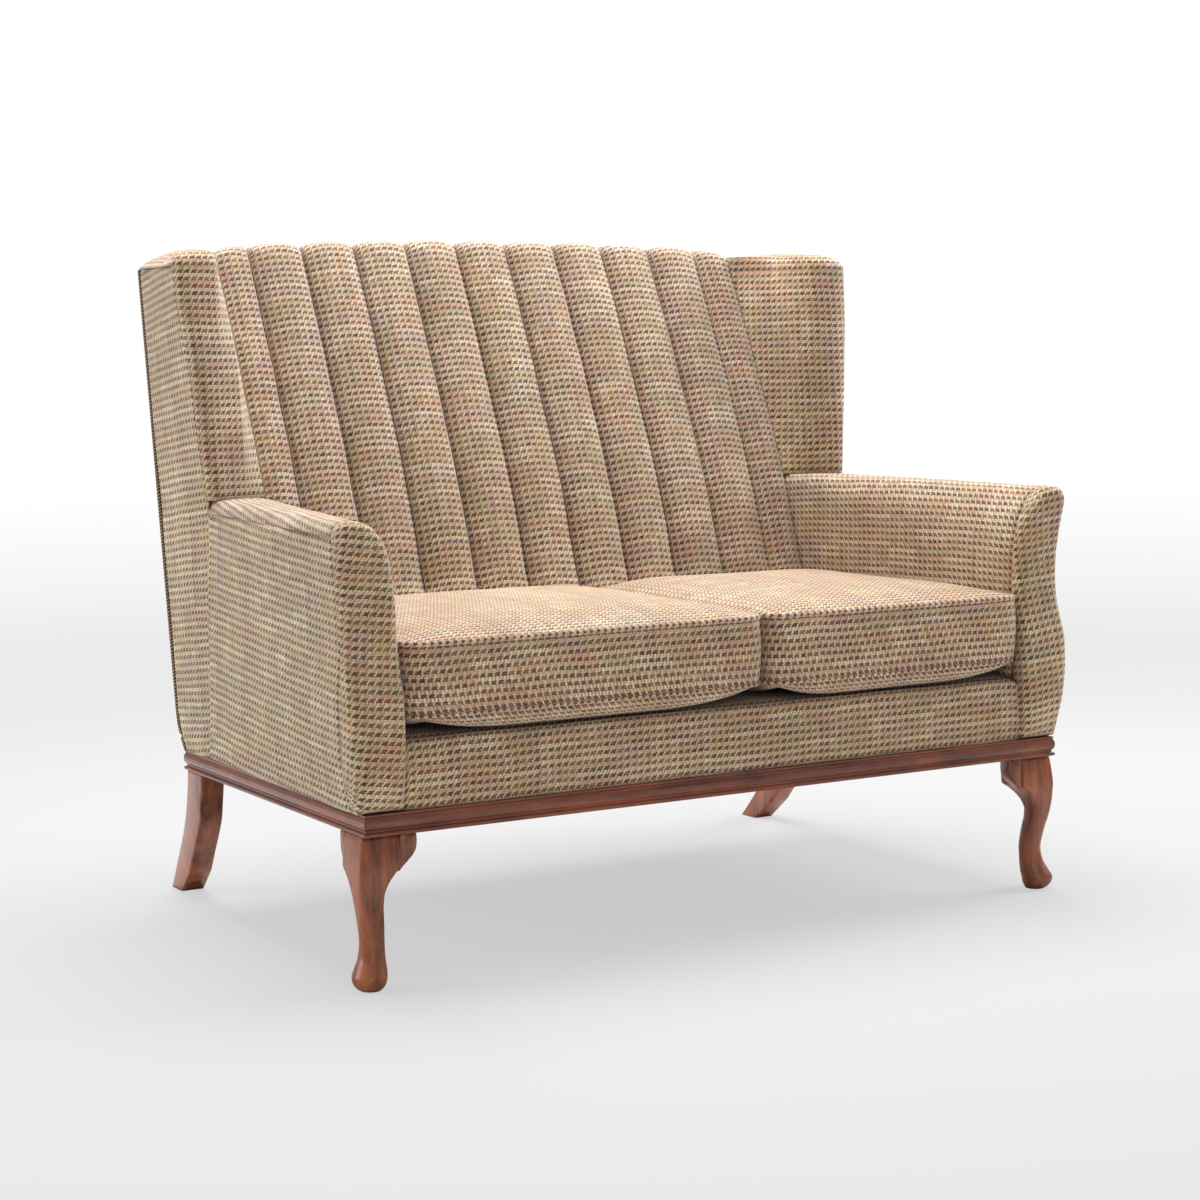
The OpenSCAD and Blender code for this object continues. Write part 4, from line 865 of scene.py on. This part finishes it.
def outside(flip):
    """Outside of an arm and a wing, one stretched cloth with turned-in edges."""
    side = "left" if flip else "right"
    low_count = 40
    low_z = np.linspace(MOULD_TOP + FIT, SEAM_Z - 0.6, low_count)
    high_z = np.linspace(SEAM_Z - 0.6, WING_H - 0.4, 42)

    def end(z):
        return outer_y(z) - PIPING - np.where(z < 304, 4.0, 1.0)

    def line(ya, yb, z, count):
        y = np.linspace(0, 1, count)
        yy = blend(ya, yb, y)
        x = side_x(yy, z) + 1.5 * np.sin(math.pi * y)
        return np.stack([x, yy, np.full(count, z)], -1)
    front = np.array([line(STUMP_Y, POST_FOOT_Y, z, 44) for z in low_z])
    rear = np.array([line(POST_FOOT_Y if z < SEAM_Z else float(wing_y(z)) + WING_PAD,
                          float(end(z)), z, 26)
                     for z in np.concatenate([low_z, high_z[1:]])])
    # turned-in edges: each free edge rolls inwards a little
    front[:, 0, 0] -= 2.0
    front[-1, :, 0] -= 2.0
    front[-1, :, 2] += 0.5
    rear[low_count:, 0, 0] -= 2.0
    rear[:, -1, 0] -= 2.5
    rear[-1, :, 0] -= 2.0
    rear[:low_count, 0] = front[:, -1]

    def cloth(g, lean):
        return np.stack([g[..., 1] - lean * g[..., 2], g[..., 2] + lean * g[..., 1]], -1)
    grids = [(front, cloth(front, -0.045)), (rear, cloth(rear, 0.13))]
    piece(f"{side}_outside_cover", grids, outside_cloth, node=f"{side}_outside_panel",
          flip=flip, uneven=(1.3, 0.12), thick=2.5)


def outside_back():
    """Cloth over the rear of the back, cut lower where the channels roll over."""
    half = HALF_W - SET_IN - FIT
    xs = np.concatenate([np.linspace(-half, -FLUTE_END, 8),
                         np.linspace(-FLUTE_END + 0.5, FLUTE_END - 0.5, 60),
                         np.linspace(FLUTE_END, half, 8)])
    t = np.linspace(0, 1, 70)
    tops = np.where(np.abs(xs) < FLUTE_END, 986.0, WING_H - 0.6)
    rows = np.stack([np.stack([xs, outer_y(blend(MOULD_TOP, tops, s)),
                               blend(MOULD_TOP + FIT, tops, s)], -1) for s in t])
    rows[0, :, 1] -= 1.5
    rows[-1, :, 1] -= 2.0
    rows[:, 0, 1] -= 2.0
    rows[:, -1, 1] -= 2.0
    v = arc(rows, 0)[:, [35]]
    cloth = np.stack(np.broadcast_arrays(rows[..., 0], v), -1)
    piece("outside_back_cover", [(rows, cloth)], outside_cloth, node="outside_back",
          uneven=(1.5, 0.16), thick=2.5)


def back_edge_piping():
    count = 90
    zs = np.linspace(MOULD_TOP + FIT, WING_H - FIT, count)
    x = HALF_W - SET_IN + PIPING / 2
    grids = []
    for s in (-1, 1):
        pts = np.stack([np.full(count, s * x), outer_y(zs) - PIPING / 2 - FIT, zs], -1)
        grids.append(tube(pts, PIPING / 2, 14))
    piece("back_edge_piping_cord", grids, seam_cord, node="back_edge_piping")


def front_border():
    """Padded cloth over the front rail, its upper corners rounded at both ends."""
    r, x_end = 12.0, ARM_IN_FRONT - FIT
    corner, flat = 15, 80
    ease = np.concatenate([corner * (1 - np.cos(np.linspace(0, math.pi / 2, 9))),
                           np.linspace(corner, flat, 6)[1:]])
    xs = np.concatenate([-x_end + ease, np.linspace(-x_end + flat, x_end - flat, 70)[1:-1],
                         (x_end - ease)[::-1]])
    columns = []
    for x in xs:
        near = np.clip((abs(x) - (x_end - corner)) / corner, 0, 1)
        drop = corner * (1 - math.sqrt(max(0.0, 1 - near ** 2))) * 0.8
        tuck_in = 4 * near ** 2
        top = SEAT_Z - FIT - drop
        face = [[FRAME_FRONT - r - 3 * math.sin(math.pi * t) + tuck_in, blend(MOULD_TOP, top - r, t)]
                for t in np.linspace(0, 1, 22)]
        turn = [[FRAME_FRONT + tuck_in * 0.6 - r * math.cos(a), top - r + r * math.sin(a)]
                for a in np.linspace(0, math.pi / 2, 10)[1:]]
        lip = [[FRAME_FRONT + 13.7, top], [FRAME_FRONT + 13.7, RAIL_TOP], [FRAME_FRONT, RAIL_TOP],
               [FRAME_FRONT, MOULD_TOP], [FRAME_FRONT - r + tuck_in, MOULD_TOP]]
        columns.append([[x, p[0], p[1]] for p in face + turn + lip])
    rows = np.array(columns, float).transpose(1, 0, 2)
    v = arc(rows, 0)[:, [rows.shape[1] // 2]]
    cloth = np.stack(np.broadcast_arrays(rows[..., 0], v), -1)
    piece("front_border_cover", [(rows, cloth)], border_cloth, node="front_border",
          uneven=(1.2, 0.1))


def platform():
    """Padded deck over the springs, seen when a cushion is lifted."""
    low_z, half_t = 337.5, 3.7
    x1, y0, y1 = 559.0, FRAME_FRONT + 14.0, web_y(low_z) - 1
    n, m = 60, 34
    u, v = np.linspace(-1, 1, n), np.linspace(-1, 1, m)
    uu, vv = np.meshgrid(u, v)
    edge = np.clip(np.minimum(1 - abs(uu), (1 - abs(vv)) * 0.5) * 30, 0, 1)
    puff = half_t * np.sqrt(1 - (1 - edge) ** 2)
    z_top, z_low = low_z + half_t + puff, low_z + half_t - puff
    x, y = uu * x1, blend(y0, y1, (vv + 1) / 2)
    top, low = np.stack([x, y, z_top], -1), np.stack([x, y, z_low], -1)
    flat = np.stack([x, y], -1)
    piece("seat_deck_cover", [(top, flat), (low, flat)], border_cloth, node="seat_platform")


def oval(a, n):
    c, s = math.cos(a), math.sin(a)
    return math.copysign(abs(c) ** (2 / n), c), math.copysign(abs(s) ** (2 / n), s)


def cushion(flip):
    """A boxed cushion: crowned top, walls between two piped seams, a belly below."""
    side = -1 if flip else 1
    name = "left" if flip else "right"
    around = 160

    def back(z):
        return seam_y(z) - FLUTE_CROWN / math.cos(RAKE) - 1.0
    x0 = SPLIT + side * 1.0

    def point(cx, cy, z):
        y = blend(-HALF_D - 3, back(z), (cy + 1) / 2)
        xa = side * (arm_in_x(y) - 1.5)
        return [blend(x0, xa, (side * cx + 1) / 2), y, z]
    angles = [2 * math.pi * (k + 0.5) / around for k in range(around)]

    def ring(s, z, square=16.0, pull=0.0):
        pts = []
        for a in angles:
            c = oval(a, square)
            # a wall pulls in between its corners
            p = 1 - pull * (1 - min(abs(c[0]), abs(c[1])) ** 2)
            lift = min(abs(c[0]), abs(c[1])) ** 4 if z < SEAM_LOW else 0
            pts.append(point(c[0] * s * p, c[1] * s * p, z + (SEAM_LOW - z) * 0.75 * lift))
        pts.append(pts[0])
        return np.array(pts)
    crown = [(0.985, 0.04), (0.965, 0.14), (0.93, 0.28), (0.88, 0.44), (0.81, 0.59), (0.72, 0.72),
             (0.61, 0.83), (0.49, 0.91), (0.36, 0.96), (0.23, 0.985), (0.11, 1.0), (0.004, 1.0)]
    belly = [(0.004, 0), (0.2, 0), (0.45, 0), (0.66, 0.0), (0.78, 0.02), (0.86, 0.06),
             (0.91, 0.15), (0.945, 0.32), (0.97, 0.56), (0.985, 0.8)]
    walls = np.linspace(0, 1, 18)

    def swell(t):
        return 0.985 + 0.014 * math.sin(math.pi * t) ** 0.6
    low = np.array([ring(s, blend(SEAT_Z + FIT, SEAM_LOW, h), 12.0) for s, h in belly]
                   + [ring(0.985, SEAM_LOW)])
    wall = np.array([ring(swell(t), blend(SEAM_LOW, SEAM_HIGH, t)) for t in walls])
    high = np.array([ring(0.985, SEAM_HIGH)]
                    + [ring(s, SEAM_HIGH + CROWN * h, blend(12.0, 4.0, h)) for s, h in crown])
    girth = arc(wall, 1)
    wall_cloth = np.stack([girth, wall[..., 2]], -1)
    under = np.stack([low[..., 0], low[..., 1] - low[..., 2]], -1)
    over = np.stack([high[..., 0], high[..., 1] + high[..., 2]], -1)
    grids = [(low, under), (wall, wall_cloth), (high, over)]
    body = f"{name}_cushion"
    node = f"{name}_seat_cushion"
    piece(f"{name}_cushion_cover", grids, cushion_cloth, body=body, node=node,
          uneven=(2.2, 0.11))
    cord = tube(ring(0.99, SEAM_HIGH)[:-1], 3.6, 10, closed=True)
    fine = tube(ring(0.985, SEAM_LOW)[:-1], 2.2, 8, closed=True)
    piece(f"{name}_cushion_piping", [cord, fine], cushion_cloth, body=body)


# Woodwork

def leg(flip):
    """A front leg of cabriole form, and its two brackets under the moulding."""
    side = "left" if flip else "right"
    knee = 27.5
    shares = [curve(LEG_TABLE[:, 0], LEG_TABLE[:, k]) for k in (1, 2, 3)]
    cx, cy = HALF_W - 23, -HALF_D + 32.5
    rows = []
    heights = [np.linspace(0, 0.1, 12), np.linspace(0.1, 0.86, 60)[1:], np.linspace(0.86, 1, 5)[1:]]
    for t in np.concatenate(heights):
        a, b = float(shares[0](t)) * knee, float(shares[1](t)) * knee
        r = min(float(shares[2](t)) * knee, (a + b) / 2.05)
        ring = []
        for q in range(4):
            rr = min(1.6 * r, (a + b) / 2.05) if q == 2 else r
            for k in range(11):
                ang = q * math.pi / 2 + k * math.pi / 20
                sx, sy = (1 if q in (0, 3) else -1), (1 if q < 2 else -1)
                px = (b - rr if sx > 0 else rr - a) + rr * math.cos(ang)
                py = (b - rr if sy > 0 else rr - a) + rr * math.sin(ang)
                ring.append([cx + py, cy - px, t * LEG_H])
        ring.append(ring[0])
        rows.append(ring)
    rows = np.array(rows)
    piece(f"front_{side}_cabriole_leg", [(rows, cloth_of(rows))], leg_wood, node=f"front_{side}_leg",
          flip=flip)
    # ears: swept brackets beside the knee, under the moulding
    ear = [[1, 0], [1.02, 0.20], [1, 0.36], [0.93, 0.49], [0.76, 0.62], [0.46, 0.77], [0.14, 0.92], [0, 1]]
    # each slice is a share of the bracket's thickness and how far its outline draws in
    deep = 24.0
    slices = [(0.0, deep), (0.0, 3.0), (0.06, 1.0), (0.16, 0.0), (0.9, 0.0), (1.0, 3.0), (1.0, deep)]
    knee_end, face = 1.27 * knee, 0.80 * knee
    grids = []
    for length, along_x in ((27.0, True), (14.0, False)):
        line = along([[length * e[0], -53 * e[1]] for e in ear], 26)
        line = np.concatenate([[[0, 0]], line, [[0, 0]]])
        rows = []
        for t, inset in slices:
            keep = 1 - inset / deep
            p = line * keep + np.array([length * 0.3, -16]) * (1 - keep)
            depth = deep * t
            if along_x:
                x, y = cx - knee_end - p[:, 0], np.full(len(p), cy - face + depth)
            else:
                x, y = np.full(len(p), cx + face - depth), cy + knee_end + p[:, 0]
            rows.append(np.stack([x, y, LEG_H + p[:, 1]], -1))
        rows = np.array(rows)
        grids.append((rows, cloth_of(rows)))
    piece(f"front_{side}_leg_brackets", grids, leg_wood, node=f"front_{side}_leg_ears",
          flip=flip)


def rear_leg(flip):
    """A square rear leg that sweeps backwards."""
    side = "left" if flip else "right"
    sweep, depth = [curve(REAR_TABLE[:, 0], REAR_TABLE[:, k]) for k in (1, 2)]
    rows = []
    for t in np.linspace(0, 1, 50):
        y1 = 328.5 + 144 * float(sweep(t))
        y0 = y1 - blend(46, 60, float(depth(t)))
        x1 = HALF_W - 4 - 22 * (1 - t)
        x0 = x1 - 39
        r, pts = 4.0, []
        corners = ((x1 - r, y1 - r), (x0 + r, y1 - r), (x0 + r, y0 + r), (x1 - r, y0 + r))
        for q, (cx, cy) in enumerate(corners):
            for k in range(5):
                a = q * math.pi / 2 + k * math.pi / 8
                pts.append([cx + r * math.cos(a), cy + r * math.sin(a), t * LEG_H])
        pts.append(pts[0])
        rows.append(pts)
    rows = np.array(rows)
    piece(f"rear_{side}_sabre_leg", [(rows, cloth_of(rows))], leg_wood, node=f"rear_{side}_leg",
          flip=flip)


# Put together

fluted_back()
for flip in (True, False):
    wing(flip)
    arm(flip)
    arm_front(flip)
    outside(flip)
    cushion(flip)
    leg(flip)
    rear_leg(flip)
outside_back()
back_edge_piping()
front_border()
platform()

# what isn't named here is beech
finishes = {"seat_springs": steel, "spring_clips": steel, "leg_bolts": steel,
            "back_webbing": jute, "dust_cover": lining,
            "moulding_front": front_wood, "moulding_back": front_wood,
            "moulding_left": side_wood, "moulding_right": side_wood}
for name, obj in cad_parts.items():
    finish = finishes.get(name, beech)
    if obj.type == "MESH":
        obj.data.materials.clear()
        obj.data.materials.append(finish)


# Floor, light, camera

def stage():
    bm = bmesh.new()
    bmesh.ops.create_grid(bm, x_segments=2, y_segments=2, size=60.0)
    mesh = bpy.data.meshes.new("studio_floor")
    bm.to_mesh(mesh)
    bm.free()
    floor = placed("studio_floor", mesh)
    m = bpy.data.materials.new("pale_floor")
    m.use_nodes = True
    m.node_tree.nodes.clear()
    b = Bench(m.node_tree)
    out = b.node("ShaderNodeOutputMaterial")
    paint = b.node("ShaderNodeBsdfDiffuse")
    paint.inputs["Color"].default_value = (0.7, 0.7, 0.7, 1)
    glow = b.node("ShaderNodeEmission")
    at = b.node("ShaderNodeTexCoord")
    length = b.node("ShaderNodeVectorMath")
    length.operation = "LENGTH"
    b.link(at.outputs["Object"], length.inputs[0])
    away = b.math("LOGARITHM", length.outputs["Value"], 2.0)
    far = b.spread(away, 0.7, 3.4, 0.0, 1.0)
    b.link(b.mix(far, (0.73, 0.73, 0.735, 1), (1, 1, 1, 1)), glow.inputs["Color"])
    path = b.node("ShaderNodeLightPath")
    seen = b.mul(path.outputs["Is Camera Ray"], b.spread(far, 0.0, 0.6, 0.76, 1.0))
    join = b.node("ShaderNodeMixShader")
    b.link(seen, join.inputs[0])
    b.link(paint.outputs[0], join.inputs[1])
    b.link(glow.outputs[0], join.inputs[2])
    b.link(join.outputs[0], out.inputs[0])
    mesh.materials.append(m)

    world = bpy.data.worlds.new("studio")
    bpy.context.scene.world = world
    world.use_nodes = True
    tree = world.node_tree
    tree.nodes.clear()
    b = Bench(tree)
    out = b.node("ShaderNodeOutputWorld")
    path = b.node("ShaderNodeLightPath")
    soft, white = b.node("ShaderNodeBackground"), b.node("ShaderNodeBackground")
    put(soft, {"Color": (1, 1, 1, 1), "Strength": 0.30})
    put(white, {"Color": (1, 1, 1, 1), "Strength": 1.0})
    seen = b.math("MAXIMUM", path.outputs["Is Camera Ray"],
                  b.mul(path.outputs["Is Glossy Ray"], 0.35))
    join = b.node("ShaderNodeMixShader")
    b.link(seen, join.inputs[0])
    b.link(soft.outputs[0], join.inputs[1])
    b.link(white.outputs[0], join.inputs[2])
    b.link(join.outputs[0], out.inputs[0])


def lamp(name, place, target, size, power, colour=(1, 1, 1)):
    light = bpy.data.lights.new(name, "AREA")
    light.shape, light.size, light.energy, light.color = "SQUARE", size, power, colour
    obj = placed(name, light)
    way = Vector(target) - Vector(place)
    obj.matrix_world = Matrix.Translation(place) @ way.to_track_quat("-Z", "Y").to_matrix().to_4x4()


def camera():
    data = bpy.data.cameras.new("camera")
    data.lens, data.sensor_width = 75.24, 36.0
    data.shift_y = 32 / 1200
    data.clip_end = 300
    obj = placed("camera", data)
    yaw, pitch, roll = math.radians(30.54), math.radians(6.74), math.radians(-0.588)
    level = math.cos(pitch)
    ahead = Vector((math.sin(yaw) * level, math.cos(yaw) * level, -math.sin(pitch)))
    right = Vector((math.cos(yaw), -math.sin(yaw), 0))
    up = right.cross(ahead)
    r = math.cos(roll) * right + math.sin(roll) * up
    u = -math.sin(roll) * right + math.cos(roll) * up
    turn = Matrix((r, u, -ahead)).transposed().to_4x4()
    place = (-2.0284, -3.4443, 0.8916)
    obj.matrix_world = Matrix.Translation(place) @ turn
    bpy.context.scene.camera = obj


stage()
lamp("top_box", (0.2, 0.8, 3.3), (0, 0.1, 0.4), 2.4, 190)
lamp("left_box", (-3.5, 1.3, 1.7), (0, 0, 0.6), 1.8, 60)
lamp("right_box", (3.2, -0.3, 2.3), (0, 0, 0.7), 1.5, 96)
lamp("front_fill", (-1.2, -4.2, 1.8), (0, 0, 0.5), 2.4, 26, (1.0, 0.95, 0.88))
camera()
bpy.context.scene.view_settings.view_transform = "Standard"
